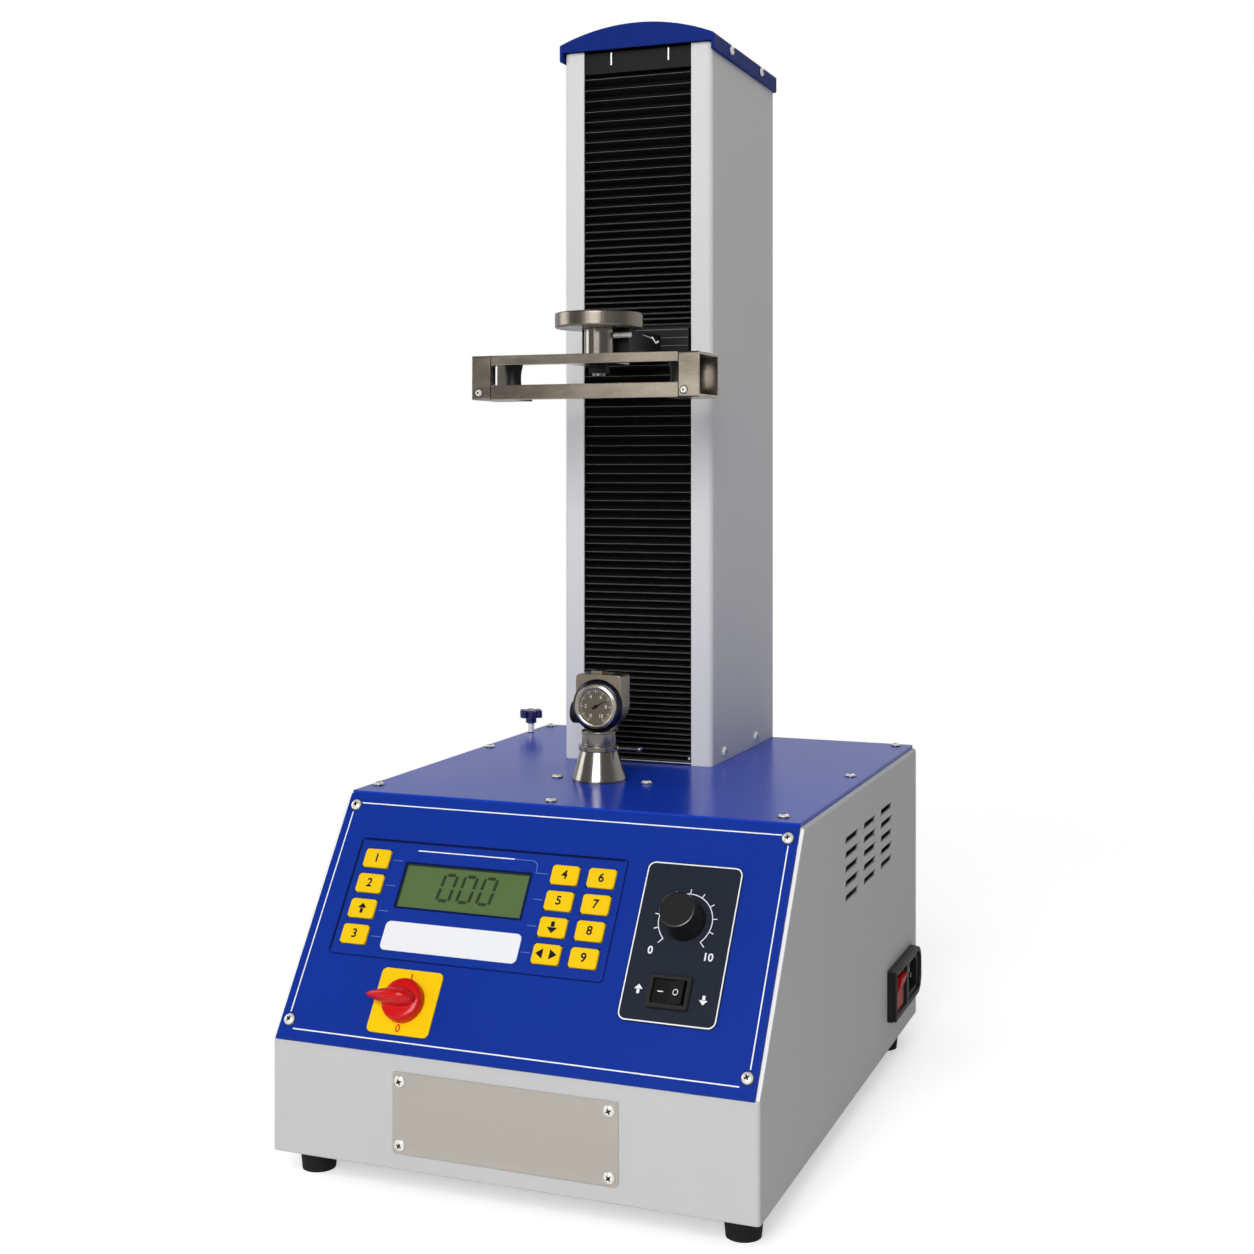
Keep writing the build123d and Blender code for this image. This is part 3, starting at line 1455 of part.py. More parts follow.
# Star knob on its stud
with BuildPart() as star_knob:
    star_base = deck_z + star_stud_h
    with BuildSketch(Plane.XY.offset(top_z - star_stud_tail)):
        with Locations((star_x, star_y)):
            Circle(star_stud_d / 2)
    extrude(amount=star_base - top_z + star_stud_tail)
    with BuildSketch(Plane.XY.offset(star_base)):
        with Locations((star_x, star_y)):
            Circle(star_hub_d / 2)
    extrude(amount=star_hub_h)
    with BuildSketch(Plane.XY.offset(star_base + star_hub_h - star_hub_lap)):
        with Locations((star_x, star_y)):
            Circle(star_core_d / 2)
            with PolarLocations((star_d - star_lobe_d) / 2, star_lobes):
                Circle(star_lobe_d / 2)
    extrude(amount=star_h)
    chamfer(star_knob.faces().sort_by(Axis.Z)[-1].edges(), length=star_bevel)
finish(star_knob, "star_knob")
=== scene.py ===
"""Looks of the bench-top peel bond strength tester, built round its solid model.

Metres. +X is to the operator's right, -Y faces the operator, +Z is up.
"""

import random
from math import atan2, pi, radians

import bmesh
import bpy
from mathutils import Matrix, Vector


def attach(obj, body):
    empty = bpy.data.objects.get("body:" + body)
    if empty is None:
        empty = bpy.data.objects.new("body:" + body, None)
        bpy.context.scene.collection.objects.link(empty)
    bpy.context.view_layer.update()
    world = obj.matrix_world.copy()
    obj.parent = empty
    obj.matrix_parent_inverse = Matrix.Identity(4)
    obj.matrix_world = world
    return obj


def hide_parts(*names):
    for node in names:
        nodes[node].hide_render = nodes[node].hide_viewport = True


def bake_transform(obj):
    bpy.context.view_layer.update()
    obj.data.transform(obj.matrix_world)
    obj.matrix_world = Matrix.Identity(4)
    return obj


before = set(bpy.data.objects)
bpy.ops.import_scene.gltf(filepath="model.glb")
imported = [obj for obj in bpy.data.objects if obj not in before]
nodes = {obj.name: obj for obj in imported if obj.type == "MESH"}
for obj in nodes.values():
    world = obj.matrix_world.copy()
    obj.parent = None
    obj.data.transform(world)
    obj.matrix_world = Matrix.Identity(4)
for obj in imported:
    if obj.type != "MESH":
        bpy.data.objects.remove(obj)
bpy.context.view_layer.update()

MM = 0.001
tiny = 1e-7
full_turn = 2 * pi - 0.001  # a hair less, so that both ends of a band stay apart

# Sizes shared with the solid model, in millimetres
front_y = -241.0
lip_z = 99.0
deck_z = 257.0
slope_run = 108.0
slope_rise = 155.0
panel_thick = 2.0
label_top = 3.0
half_width = 180.0
inlet_front = 185.5
inlet_z = 65.0
column_x = -19.0
column_front = 63.5
column_top = 856.0
bellows_width = 112.0
bellows_near = 66.1
bellows_depth = 11.0
bellows_head = 16.0
plate_low = 595.5
plate_high = 620.5
upper_folds = 31
lower_folds = 52
fold_grading = 0.64
fold_radius = 0.45
cloth_thick = 0.7
end_frame = 1.6
axis_x = -17.5
axis_y = -25.0
frame_x = -21.5
frame_front = -49.5
frame_half = 95.5
frame_screw_z = 563.5
dial_z = 316.0
body_front = -27.0
star_x = -172.0
star_y = 188.0


def srgb(red, green, blue):
    """An eight-bit screen colour as linear values."""

    def linear(value):
        share = value / 255
        return share / 12.92 if share <= 0.04045 else ((share + 0.055) / 1.055) ** 2.4

    return (linear(red), linear(green), linear(blue), 1.0)


# --- places ---


def at(x, y, z):
    """A move by millimetres."""
    return Matrix.Translation(Vector((x, y, z)) * MM)


slope_turn = Matrix.Rotation(atan2(slope_rise, slope_run), 4, "X")
side_turn = Matrix(((0, 0, 1, 0), (1, 0, 0, 0), (0, 1, 0, 0), (0, 0, 0, 1)))
front_turn = Matrix.Rotation(pi / 2, 4, "X")


def on_slope(x, v, lift, turn=0.0):
    """A place on the sloped panel: across, up the slope and out from it."""
    return at(0, front_y, lip_z) @ slope_turn @ at(x, v, lift) @ Matrix.Rotation(turn, 4, "Z")


def on_front(x, y, z, turn=0.0):
    """A place that faces the operator."""
    return at(x, y, z) @ front_turn @ Matrix.Rotation(turn, 4, "Z")


def on_right(x, y, z, turn=0.0):
    """A place that faces right."""
    return at(x, y, z) @ side_turn @ Matrix.Rotation(turn, 4, "Z")


# --- shared shader effects ---


def add_node(tree, kind, values=None, **settings):
    """A shader node with its settings and the fixed values of its sockets."""
    node = tree.nodes.new("ShaderNode" + kind)
    for key, value in settings.items():
        setattr(node, key, value)
    for socket, value in (values or {}).items():
        node.inputs[socket].default_value = value
    return node


def map_range(tree, low, high, to_low=0.0, to_high=1.0, smooth=False):
    """A node that maps one range of numbers onto another."""
    values = {"From Min": low, "From Max": high, "To Min": to_low, "To Max": to_high}
    kind = "SMOOTHSTEP" if smooth else "LINEAR"
    return add_node(tree, "MapRange", values, interpolation_type=kind)


def wire(tree, *links):
    """Links between nodes, each given as node, output, node, input."""
    for start, output, end, socket in links:
        tree.links.new(start.outputs[output], end.inputs[socket])


def new_group(name, inputs, outputs):
    """A shader group with its float or vector sockets, and its two end nodes."""
    group = bpy.data.node_groups.new(name, "ShaderNodeTree")
    for label, kind, value in inputs:
        socket = group.interface.new_socket(
            label, in_out="INPUT", socket_type="NodeSocket" + kind
        )
        if value is not None:
            socket.default_value = value
    for label, kind in outputs:
        group.interface.new_socket(label, in_out="OUTPUT", socket_type="NodeSocket" + kind)
    return group, group.nodes.new("NodeGroupInput"), group.nodes.new("NodeGroupOutput")


def make_mottle():
    """Two sizes of noise: a slow drift of tone and a fine grain for height."""
    group, start, end = new_group(
        "mottle",
        [
            ("Vector", "Vector", None), ("Drift Scale", "Float", 8.0),
            ("Grain Scale", "Float", 900.0),
        ],
        [("Tone", "Float"), ("Height", "Float")],
    )
    for scale, detail, roughness, result in (
        ("Drift Scale", 5.0, 0.6, "Tone"), ("Grain Scale", 3.0, 0.5, "Height"),
    ):
        noise = add_node(group, "TexNoise", {"Detail": detail, "Roughness": roughness})
        wire(
            group, (start, "Vector", noise, "Vector"), (start, scale, noise, "Scale"),
            (noise, "Fac", end, result),
        )
    return group


def make_worn_and_lit_edges():
    """A broken mask on sharp edges, which lightens them as wear and as painted highlight, and the
    normal that rounds them.
    """
    group, start, end = new_group(
        "worn_and_lit_edges", [("Radius", "Float", 0.0006), ("Vector", "Vector", None)],
        [("Mask", "Float"), ("Normal", "Vector")],
    )
    bevel = add_node(group, "Bevel", samples=4)
    geometry = add_node(group, "NewGeometry")
    dot = add_node(group, "VectorMath", operation="DOT_PRODUCT")
    spread = map_range(group, 0.99, 0.85)
    patches = add_node(group, "TexNoise", {"Scale": 60.0, "Detail": 4.0})
    patch_cut = map_range(group, 0.30, 0.52)
    both = add_node(group, "Math", operation="MULTIPLY")
    wire(
        group,
        (start, "Radius", bevel, "Radius"), (bevel, "Normal", dot, 0),
        (geometry, "Normal", dot, 1), (dot, "Value", spread, "Value"),
        (start, "Vector", patches, "Vector"), (patches, "Fac", patch_cut, "Value"),
        (spread, "Result", both, 0), (patch_cut, "Result", both, 1),
        (both, "Value", end, "Mask"), (bevel, "Normal", end, "Normal"),
    )
    return group


mottle_group = make_mottle()
edge_group = make_worn_and_lit_edges()


def make_finish(
    name, colour, roughness, metallic=0.0, coat=0.0, tone=0.06, bump=0.1, drift_scale=8.0,
    grain_scale=900.0, stretch=(1, 1, 1), rough_drift=0.06, wear_and_highlight=0.0, wear_and_highlight_colour=(188, 188, 188),
    edge=0.0005, specular=0.5,
):
    """A surface with drifting tone, fine grain, softened edges, and on those edges a little wear
    together with a painted highlight.
    """
    material = bpy.data.materials.new(name)
    material.use_nodes = True
    tree = material.node_tree
    tree.nodes.clear()
    output = add_node(tree, "OutputMaterial")
    shader = add_node(
        tree, "BsdfPrincipled",
        {
            "Metallic": metallic, "Coat Weight": coat, "Coat Roughness": 0.08,
            "Specular IOR Level": specular,
        },
    )
    place = add_node(tree, "TexCoord")
    mapping = add_node(tree, "Mapping", {"Scale": stretch})
    mottle = add_node(
        tree, "Group", {"Drift Scale": drift_scale, "Grain Scale": grain_scale},
        node_tree=mottle_group,
    )
    edges = add_node(tree, "Group", {"Radius": edge}, node_tree=edge_group)
    base = srgb(*colour)[:3]
    dark = tuple(part * (1 - tone) for part in base) + (1.0,)
    light = tuple(min(1.0, part * (1 + tone)) for part in base) + (1.0,)
    shades = add_node(tree, "Mix", {"A": dark, "B": light}, data_type="RGBA")
    # Edges are mixed towards the wear colour: partly wear, partly a painted highlight along them.
    edge_lightened = add_node(tree, "Mix", {"B": srgb(*wear_and_highlight_colour)}, data_type="RGBA")
    amount = add_node(tree, "Math", {1: wear_and_highlight}, operation="MULTIPLY")
    rough = map_range(
        tree, 0.0, 1.0, max(0.02, roughness - rough_drift), min(1.0, roughness + rough_drift)
    )
    bumps = add_node(tree, "Bump", {"Strength": bump, "Distance": 0.0002})
    wire(
        tree,
        (shader, "BSDF", output, "Surface"), (place, "Object", mapping, "Vector"),
        (mapping, "Vector", mottle, "Vector"), (place, "Object", edges, "Vector"),
        (mottle, "Tone", shades, "Factor"), (edges, "Mask", amount, 0),
        (amount, "Value", edge_lightened, "Factor"), (shades, "Result", edge_lightened, "A"),
        (edge_lightened, "Result", shader, "Base Color"), (mottle, "Tone", rough, "Value"),
        (rough, "Result", shader, "Roughness"), (mottle, "Height", bumps, "Height"),
        (edges, "Normal", bumps, "Normal"), (bumps, "Normal", shader, "Normal"),
    )
    return material


# The wear colours lighten the edges: a little wear, and a painted highlight along them.
looks = {
    "blue_enamel": dict(
        colour=(17, 50, 148), roughness=0.42, tone=0.05, bump=0.10, grain_scale=700, wear_and_highlight=0.5,
        wear_and_highlight_colour=(40, 74, 170), edge=0.0006, specular=0.06,
    ),
    # The panel's blue painted lighter on the deck, as painted light on the face that looks up.
    "blue_top_painted_lighter": dict(
        colour=(21, 62, 184), roughness=0.22, tone=0.05, bump=0.14, grain_scale=500, wear_and_highlight=0.5,
        wear_and_highlight_colour=(50, 80, 185), edge=0.0008, specular=0.16,
    ),
    # The panel's blue painted darker on the cap, as painted shade on its front.
    "cap_enamel_painted_darker": dict(
        colour=(22, 42, 118), roughness=0.45, tone=0.07, bump=0.12, grain_scale=700, wear_and_highlight=0.8,
        wear_and_highlight_colour=(56, 84, 170), edge=0.0012, specular=0.03,
    ),
    "grey_powder": dict(
        colour=(196, 196, 197), roughness=0.6, tone=0.03, bump=0.55, grain_scale=1400, wear_and_highlight=0.8,
        wear_and_highlight_colour=(232, 232, 232), edge=0.0016, specular=0.2,
    ),
    "column_paint": dict(
        colour=(209, 209, 210), roughness=0.5, tone=0.02, bump=0.30, grain_scale=1200, wear_and_highlight=0.8,
        wear_and_highlight_colour=(240, 240, 240), edge=0.0014, specular=0.2,
    ),
    # White of the painted highlight strips on the housing's rolled edges.
    "edge_highlight_white": dict(
        colour=(240, 240, 240), roughness=0.5, tone=0.02, bump=0.2, specular=0.3, edge=0.0003,
    ),
    "zinc_sheet": dict(
        colour=(165, 167, 168), roughness=0.42, metallic=0.8, tone=0.14, bump=0.12, drift_scale=45,
        grain_scale=500,
    ),
    "black_rubber": dict(
        colour=(24, 24, 25), roughness=0.72, tone=0.18, bump=0.6, grain_scale=1500, drift_scale=40,
        specular=0.3,
    ),
    "bellows_cloth": dict(
        colour=(17, 17, 17), roughness=0.5, tone=0.16, bump=0.35, drift_scale=26, grain_scale=2200,
        edge=0.0003, specular=0.3,
    ),
    # Light grey of the painted highlight on the front creases of the bellows.
    "bellows_crease_highlight": dict(
        colour=(112, 112, 112), roughness=0.5, tone=0.3, bump=0.3, drift_scale=40, grain_scale=2200,
        edge=0.0002, specular=0.3,
    ),
    "bellows_band": dict(
        colour=(19, 19, 19), roughness=0.6, tone=0.12, bump=0.3, grain_scale=1500, edge=0.0003,
        specular=0.2,
    ),
    "bright_screw": dict(
        colour=(246, 243, 236), roughness=0.24, metallic=0.35, tone=0.10, bump=0.06,
        drift_scale=220, edge=0.0003, specular=1.0,
    ),
    # Near black for painted shade: screw recesses, seams and the shadows round the frame's screws.
    "painted_recess_shade": dict(colour=(20, 19, 18), roughness=0.6, tone=0.2, specular=0.1),
    "cup_washer": dict(colour=(120, 116, 110), roughness=0.35, metallic=1.0, tone=0.2),
    "bezel_steel": dict(
        colour=(206, 196, 178), roughness=0.26, metallic=1.0, tone=0.12, bump=0.1, drift_scale=90,
        edge=0.0003,
    ),
    "black_anodised": dict(
        colour=(14, 14, 15), roughness=0.42, tone=0.12, bump=0.2, edge=0.0006, specular=0.3,
    ),
    "satin_steel": dict(
        colour=(168, 159, 145), roughness=0.22, metallic=1.0, tone=0.65, bump=0.35, drift_scale=34,
        grain_scale=260, stretch=(0.45, 1, 1), rough_drift=0.14, wear_and_highlight=0.9,
        wear_and_highlight_colour=(238, 230, 216), edge=0.0008,
    ),
    "turned_steel": dict(
        colour=(150, 145, 138), roughness=0.17, metallic=1.0, tone=0.2, bump=0.2, drift_scale=60,
        grain_scale=420, stretch=(1, 1, 0.06), rough_drift=0.08, wear_and_highlight=0.8,
        wear_and_highlight_colour=(236, 230, 218), edge=0.0006,
    ),
    "cell_metal": dict(
        colour=(138, 130, 120), roughness=0.26, metallic=1.0, tone=0.5, bump=0.3, drift_scale=46,
        grain_scale=500, stretch=(1, 1, 0.1), rough_drift=0.1, wear_and_highlight=0.9,
        wear_and_highlight_colour=(226, 218, 204), edge=0.0009,
    ),
    "grip_steel": dict(
        colour=(158, 147, 130), roughness=0.30, metallic=1.0, tone=0.35, bump=0.5, drift_scale=70,
        grain_scale=700, stretch=(1, 1, 0.5), rough_drift=0.1, wear_and_highlight=0.9,
        wear_and_highlight_colour=(232, 224, 206), edge=0.0010,
    ),
    "chrome": dict(colour=(156, 151, 144), roughness=0.15, metallic=1.0, bump=0.05),
    "knob_rim": dict(
        colour=(120, 120, 120), roughness=0.22, metallic=1.0, tone=0.1, bump=0.05, edge=0.0002,
    ),
    "machined_block": dict(
        colour=(150, 151, 152), roughness=0.38, metallic=1.0, tone=0.1, bump=0.2, grain_scale=300,
        stretch=(0.2, 1, 1),
    ),
    "drive_brass": dict(colour=(190, 160, 92), roughness=0.3, metallic=1.0, tone=0.12, bump=0.1),
    "inlet_pin": dict(colour=(215, 208, 190), roughness=0.25, metallic=1.0, tone=0.08),
    "motor_paint": dict(colour=(30, 31, 33), roughness=0.5, tone=0.1, bump=0.3),
    "board_green": dict(colour=(30, 92, 58), roughness=0.45, tone=0.12, bump=0.2),
    "name_metal": dict(
        colour=(194, 189, 180), roughness=0.42, metallic=0.5, tone=0.10, bump=0.4, drift_scale=22,
        grain_scale=520, stretch=(0.03, 1, 1), rough_drift=0.08, edge=0.0004, wear_and_highlight=0.5,
        wear_and_highlight_colour=(235, 230, 222), specular=0.4,
    ),
    "overlay_film": dict(
        colour=(18, 51, 148), roughness=0.45, tone=0.05, bump=0.18, grain_scale=1300, edge=0.0004,
        specular=0.06,
    ),
    "display_glass": dict(
        colour=(88, 110, 68), roughness=0.3, tone=0.07, bump=0.04, drift_scale=30, specular=0.08,
    ),
    "key_yellow": dict(
        colour=(243, 198, 14), roughness=0.42, tone=0.05, bump=0.2, grain_scale=1200, edge=0.0008,
        wear_and_highlight=0.4, wear_and_highlight_colour=(255, 220, 70), specular=0.1,
    ),
    "label_yellow": dict(
        colour=(249, 202, 8), roughness=0.45, tone=0.05, bump=0.2, grain_scale=900, edge=0.0005,
        specular=0.08,
    ),
    "label_slate": dict(
        colour=(34, 40, 53), roughness=0.45, tone=0.10, bump=0.35, grain_scale=1600, edge=0.0005,
        specular=0.08,
    ),
    "red_gloss": dict(
        colour=(206, 14, 20), roughness=0.26, coat=0.1, tone=0.06, bump=0.05, edge=0.001, wear_and_highlight=0.2,
        wear_and_highlight_colour=(225, 70, 66), specular=0.3,
    ),
    "rocker_red": dict(
        colour=(176, 14, 20), roughness=0.3, tone=0.08, bump=0.05, edge=0.0008, specular=0.06,
    ),
    "black_gloss": dict(
        colour=(18, 18, 19), roughness=0.3, tone=0.15, bump=0.12, edge=0.0008, specular=0.2,
        wear_and_highlight=0.35, wear_and_highlight_colour=(60, 60, 62),
    ),
    "black_satin": dict(
        colour=(24, 25, 26), roughness=0.46, tone=0.12, bump=0.35, grain_scale=1500, edge=0.0008,
        wear_and_highlight=0.3, wear_and_highlight_colour=(70, 70, 74), specular=0.22,
    ),
    "bezel_grey": dict(
        colour=(38, 38, 37), roughness=0.45, tone=0.08, bump=0.3, grain_scale=1500, edge=0.0006,
        specular=0.15,
    ),
    "navy_gloss": dict(
        colour=(14, 24, 84), roughness=0.26, coat=0.15, tone=0.1, bump=0.08, edge=0.0008,
    ),
    "roller_black": dict(colour=(22, 22, 22), roughness=0.45, tone=0.15, bump=0.3, specular=0.25),
    "gauge_drum": dict(
        colour=(52, 54, 66), roughness=0.26, metallic=0.95, tone=0.2, bump=0.15, drift_scale=60,
        edge=0.0006,
    ),
    "gauge_face": dict(
        colour=(98, 89, 76), roughness=0.5, tone=0.3, bump=0.5, drift_scale=900, specular=0.2,
    ),
    "print_white": dict(
        colour=(240, 241, 244), roughness=0.5, tone=0.02, bump=0.1, edge=0.0001, specular=0.2,
    ),
    "print_dark": dict(
        colour=(20, 22, 34), roughness=0.5, tone=0.08, bump=0.1, edge=0.0001, specular=0.1,
    ),
    "print_red": dict(colour=(214, 52, 20), roughness=0.5, tone=0.05, edge=0.0001, specular=0.1),
    "print_pale": dict(
        colour=(104, 126, 190), roughness=0.5, tone=0.08, bump=0.1, edge=0.0001, specular=0.1,
    ),
    "print_pale_metal": dict(
        colour=(206, 198, 182), roughness=0.5, tone=0.2, bump=0.1, edge=0.0001, drift_scale=300,
        specular=0.3,
    ),
    # Navy of the printed outlines, and of the painted shadow along the overlay's edges.
    "navy_print_and_shadow": dict(colour=(9, 24, 74), roughness=0.5, tone=0.05, edge=0.0001, specular=0.05),
    "bare_white": dict(
        colour=(233, 234, 238), roughness=0.4, tone=0.03, bump=0.08, edge=0.0005, specular=0.2,
    ),
    "digit_dark": dict(colour=(48, 60, 42), roughness=0.4, tone=0.06, edge=0.0001, specular=0.1),
}
finishes = {name: make_finish(name, **look) for name, look in looks.items()}

# Which solids wear which finish
worn_by = {
    "zinc_sheet": "base_plate",
    "machined_block": "bearing_blocks carriage shaft_coupling",
    "grey_powder": "cabinet_shell",
    "black_satin": "clamp_screw panel_controls power_inlet speed_knob",
    "cap_enamel_painted_darker": "column_cap",
    "column_paint": "column_cover",
    "bright_screw": "column_screws frame_fasteners panel_screws",
    "black_anodised": "crosshead_arm",
    "gauge_drum": "dial_gauge",
    "print_dark": "dial_needle",
    "black_gloss": "direction_rocker",
    "motor_paint": "drive_motor",
    "board_green": "electronics",
    "turned_steel": "fixture_stem grip_base guide_rods lead_screw locking_lever",
    "satin_steel": "frame_ends moving_jaw peel_frame",
    "blue_enamel": "front_panel",
    "grip_steel": "grip_body",
    "roller_black": "guide_roller_left guide_roller_right",
    "inlet_pin": "inlet_pins",
    "overlay_film": "keypad_overlay",
    "display_glass": "lcd_display",
    "drive_brass": "lead_nut",
    "cell_metal": "load_cell",
    "bellows_cloth": "lower_bellows upper_bellows",
    "name_metal": "name_plate",
    "rocker_red": "power_rocker",
    "bezel_grey": "rocker_bezel",
    "black_rubber": "rubber_feet",
    "label_slate": "speed_plate",
    "navy_gloss": "star_knob",
    "red_gloss": "stop_knob",
    "label_yellow": "stop_plate",
    "blue_top_painted_lighter": "top_plate",
}
node_finish = {node: finish for finish, wearers in worn_by.items() for node in wearers.split()}
for name, node in nodes.items():
    finish = "key_yellow" if name.startswith("key_") else node_finish[name]
    node.data.materials.clear()
    node.data.materials.append(finishes[finish])


# --- making of pieces ---


def blend_in(target, part, place, slot=0):
    """Put a finished part mesh into a piece. Slot None keeps the slots of its faces."""
    if slot is not None:
        for face in part.faces:
            face.material_index = slot
    bmesh.ops.transform(part, matrix=place, verts=part.verts)
    carrier = bpy.data.meshes.new("carrier")
    part.to_mesh(carrier)
    part.free()
    target.from_mesh(carrier)
    bpy.data.meshes.remove(carrier)


def round_off(part, geom, offset, segments=2, affect="EDGES"):
    """Bevel edges or corners of a part."""
    bmesh.ops.bevel(
        part, geom=geom, offset=offset * MM, offset_type="OFFSET", segments=segments,
        profile=0.5, affect=affect, material=-1,
    )


def raise_faces(part, height):
    """Give the flat faces of a part a thickness."""
    raised = bmesh.ops.extrude_face_region(part, geom=part.faces[:], use_keep_orig=True)
    lifted = [item for item in raised["geom"] if isinstance(item, bmesh.types.BMVert)]
    bmesh.ops.translate(part, vec=(0, 0, height * MM), verts=lifted)
    bmesh.ops.recalc_face_normals(part, faces=part.faces)


def hollow_out(part, line):
    """Leave only an outline of a lone flat face."""
    bmesh.ops.inset_region(
        part, faces=part.faces[:], thickness=line * MM, use_boundary=True, use_even_offset=True
    )
    middle = max(part.faces, key=lambda face: len(face.verts))
    bmesh.ops.delete(part, geom=[middle], context="FACES")


def rise(edge):
    """How far an edge climbs."""
    return abs(edge.verts[0].co.z - edge.verts[1].co.z)


def add_piece(name, mesh_tool, body, finish_names, smooth=False):
    """Turn a bmesh into a piece that rides on a body, if one is given."""
    mesh = bpy.data.meshes.new(name)
    mesh_tool.to_mesh(mesh)
    mesh_tool.free()
    for finish_name in finish_names:
        mesh.materials.append(finishes[finish_name])
    if smooth:
        mesh.shade_smooth()
        mesh.set_sharp_from_angle(angle=radians(32))
    piece = bpy.data.objects.new(name, mesh)
    bpy.context.scene.collection.objects.link(piece)
    if body:
        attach(piece, body)
    return piece


def block(width, height, depth, corner=0.0, soft=0.0, steps=5):
    """A block that stands on its base, with rounded upright corners and a softened top."""
    part = bmesh.new()
    bmesh.ops.create_cube(part, size=1.0)
    bmesh.ops.translate(part, vec=(0, 0, 0.5), verts=part.verts)
    bmesh.ops.scale(part, vec=Vector((width, height, depth)) * MM, verts=part.verts)
    if corner:
        round_off(part, [edge for edge in part.edges if rise(edge) > tiny], corner, steps)
    if soft:
        top = max(vert.co.z for vert in part.verts)
        rim = [edge for edge in part.edges if all(top - vert.co.z < tiny for vert in edge.verts)]
        round_off(part, rim, soft)
    return part


def ring_plate(width, height, line, corner, depth):
    """A thin rectangular outline with rounded corners."""
    part = bmesh.new()
    bmesh.ops.create_grid(part, x_segments=1, y_segments=1, size=0.5)
    bmesh.ops.scale(part, vec=Vector((width, height, 1000)) * MM, verts=part.verts)
    round_off(part, part.verts[:], corner, 6, "VERTICES")
    hollow_out(part, line)
    raise_faces(part, depth)
    return part


def lathe(profile, steps=48, sweep=2 * pi):
    """Spin a profile of (radius, height) pairs round Z."""
    part = bmesh.new()
    chain = [part.verts.new((radius * MM, 0, height * MM)) for radius, height in profile]
    spun = chain + [part.edges.new(pair) for pair in zip(chain, chain[1:])]
    whole = sweep > full_turn
    bmesh.ops.spin(
        part, geom=spun, cent=(0, 0, 0), axis=(0, 0, 1), angle=sweep, steps=steps, use_merge=whole
    )
    bmesh.ops.remove_doubles(part, verts=part.verts, dist=1e-6)
    bmesh.ops.recalc_face_normals(part, faces=part.faces)
    return part


def arc_band(radius, width, depth, begin, sweep, steps=40):
    """A flat curved band, from one angle through another, closed at both ends."""
    part = bmesh.new()
    inner = (radius - width / 2) * MM
    outer = (radius + width / 2) * MM
    corners = [(inner, 0), (outer, 0), (outer, depth * MM), (inner, depth * MM)]
    face = part.faces.new([part.verts.new((x, 0, z)) for x, z in corners])
    bmesh.ops.spin(
        part, geom=[face, *face.edges, *face.verts], cent=(0, 0, 0), axis=(0, 0, 1), angle=sweep,
        steps=steps,
    )
    bmesh.ops.rotate(part, cent=(0, 0, 0), matrix=Matrix.Rotation(begin, 3, "Z"), verts=part.verts)
    bmesh.ops.recalc_face_normals(part, faces=part.faces)
    return part


def printed(text, size, depth=0.06, bold=0.022):
    """Plain figures as a thin solid mesh, centred."""
    curve = bpy.data.curves.new("figures", "FONT")
    curve.body = text
    curve.size = size * MM
    curve.align_x = "CENTER"
    curve.align_y = "CENTER"
    curve.extrude = depth / 2 * MM
    curve.offset = bold * size * MM
    holder = bpy.data.objects.new("figures", curve)
    bpy.context.scene.collection.objects.link(holder)
    bpy.context.view_layer.update()
    mesh = bpy.data.meshes.new_from_object(holder)
    part = bmesh.new()
    part.from_mesh(mesh)
    bpy.data.objects.remove(holder)
    bpy.data.curves.remove(curve)
    bpy.data.meshes.remove(mesh)
    return part


def soften(name, sources, width, body, finish_name):
    """Solids with their edges rounded, as one piece that takes their place."""
    joined = bmesh.new()
    for source in sources:
        part = bmesh.new()
        part.from_mesh(nodes[source].data)
        bmesh.ops.remove_doubles(part, verts=part.verts, dist=2e-6)
        bmesh.ops.dissolve_limit(
            part, angle_limit=radians(0.5), verts=part.verts, edges=part.edges
        )
        blend_in(joined, part, Matrix.Identity(4))
    piece = add_piece(name, joined, body, [finish_name], smooth=True)
    rounded = piece.modifiers.new("rounded", "BEVEL")
    rounded.width = width * MM
    rounded.segments = 2
    rounded.limit_method = "ANGLE"
    rounded.angle_limit = radians(40)
    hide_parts(*sources)
    return piece


def wedge(width, height, depth=0.06):
    """A flat triangle that points up."""
    part = bmesh.new()
    bmesh.ops.create_circle(part, cap_ends=True, segments=3, radius=0.5)
    bmesh.ops.rotate(part, cent=(0, 0, 0), matrix=Matrix.Rotation(pi, 3, "Z"), verts=part.verts)
    low = min(vert.co.y for vert in part.verts)
    if sum(abs(vert.co.y - low) < 1e-4 for vert in part.verts) == 1:
        bmesh.ops.rotate(part, cent=(0, 0, 0), matrix=Matrix.Rotation(pi, 3, "Z"), verts=part.verts)
    bmesh.ops.scale(part, vec=Vector((width / 0.866, height / 0.75, 1)) * MM, verts=part.verts)
    raise_faces(part, depth)
    return part


# --- bellows ---


def fold_heights(low, high, folds):
    """Heights of the creases, closer together towards the bottom."""
    steps = [index / (2 * folds) for index in range(2 * folds + 1)]
    return [low + (high - low) * (fold_grading * t + (1 - fold_grading) * t * t) for t in steps]


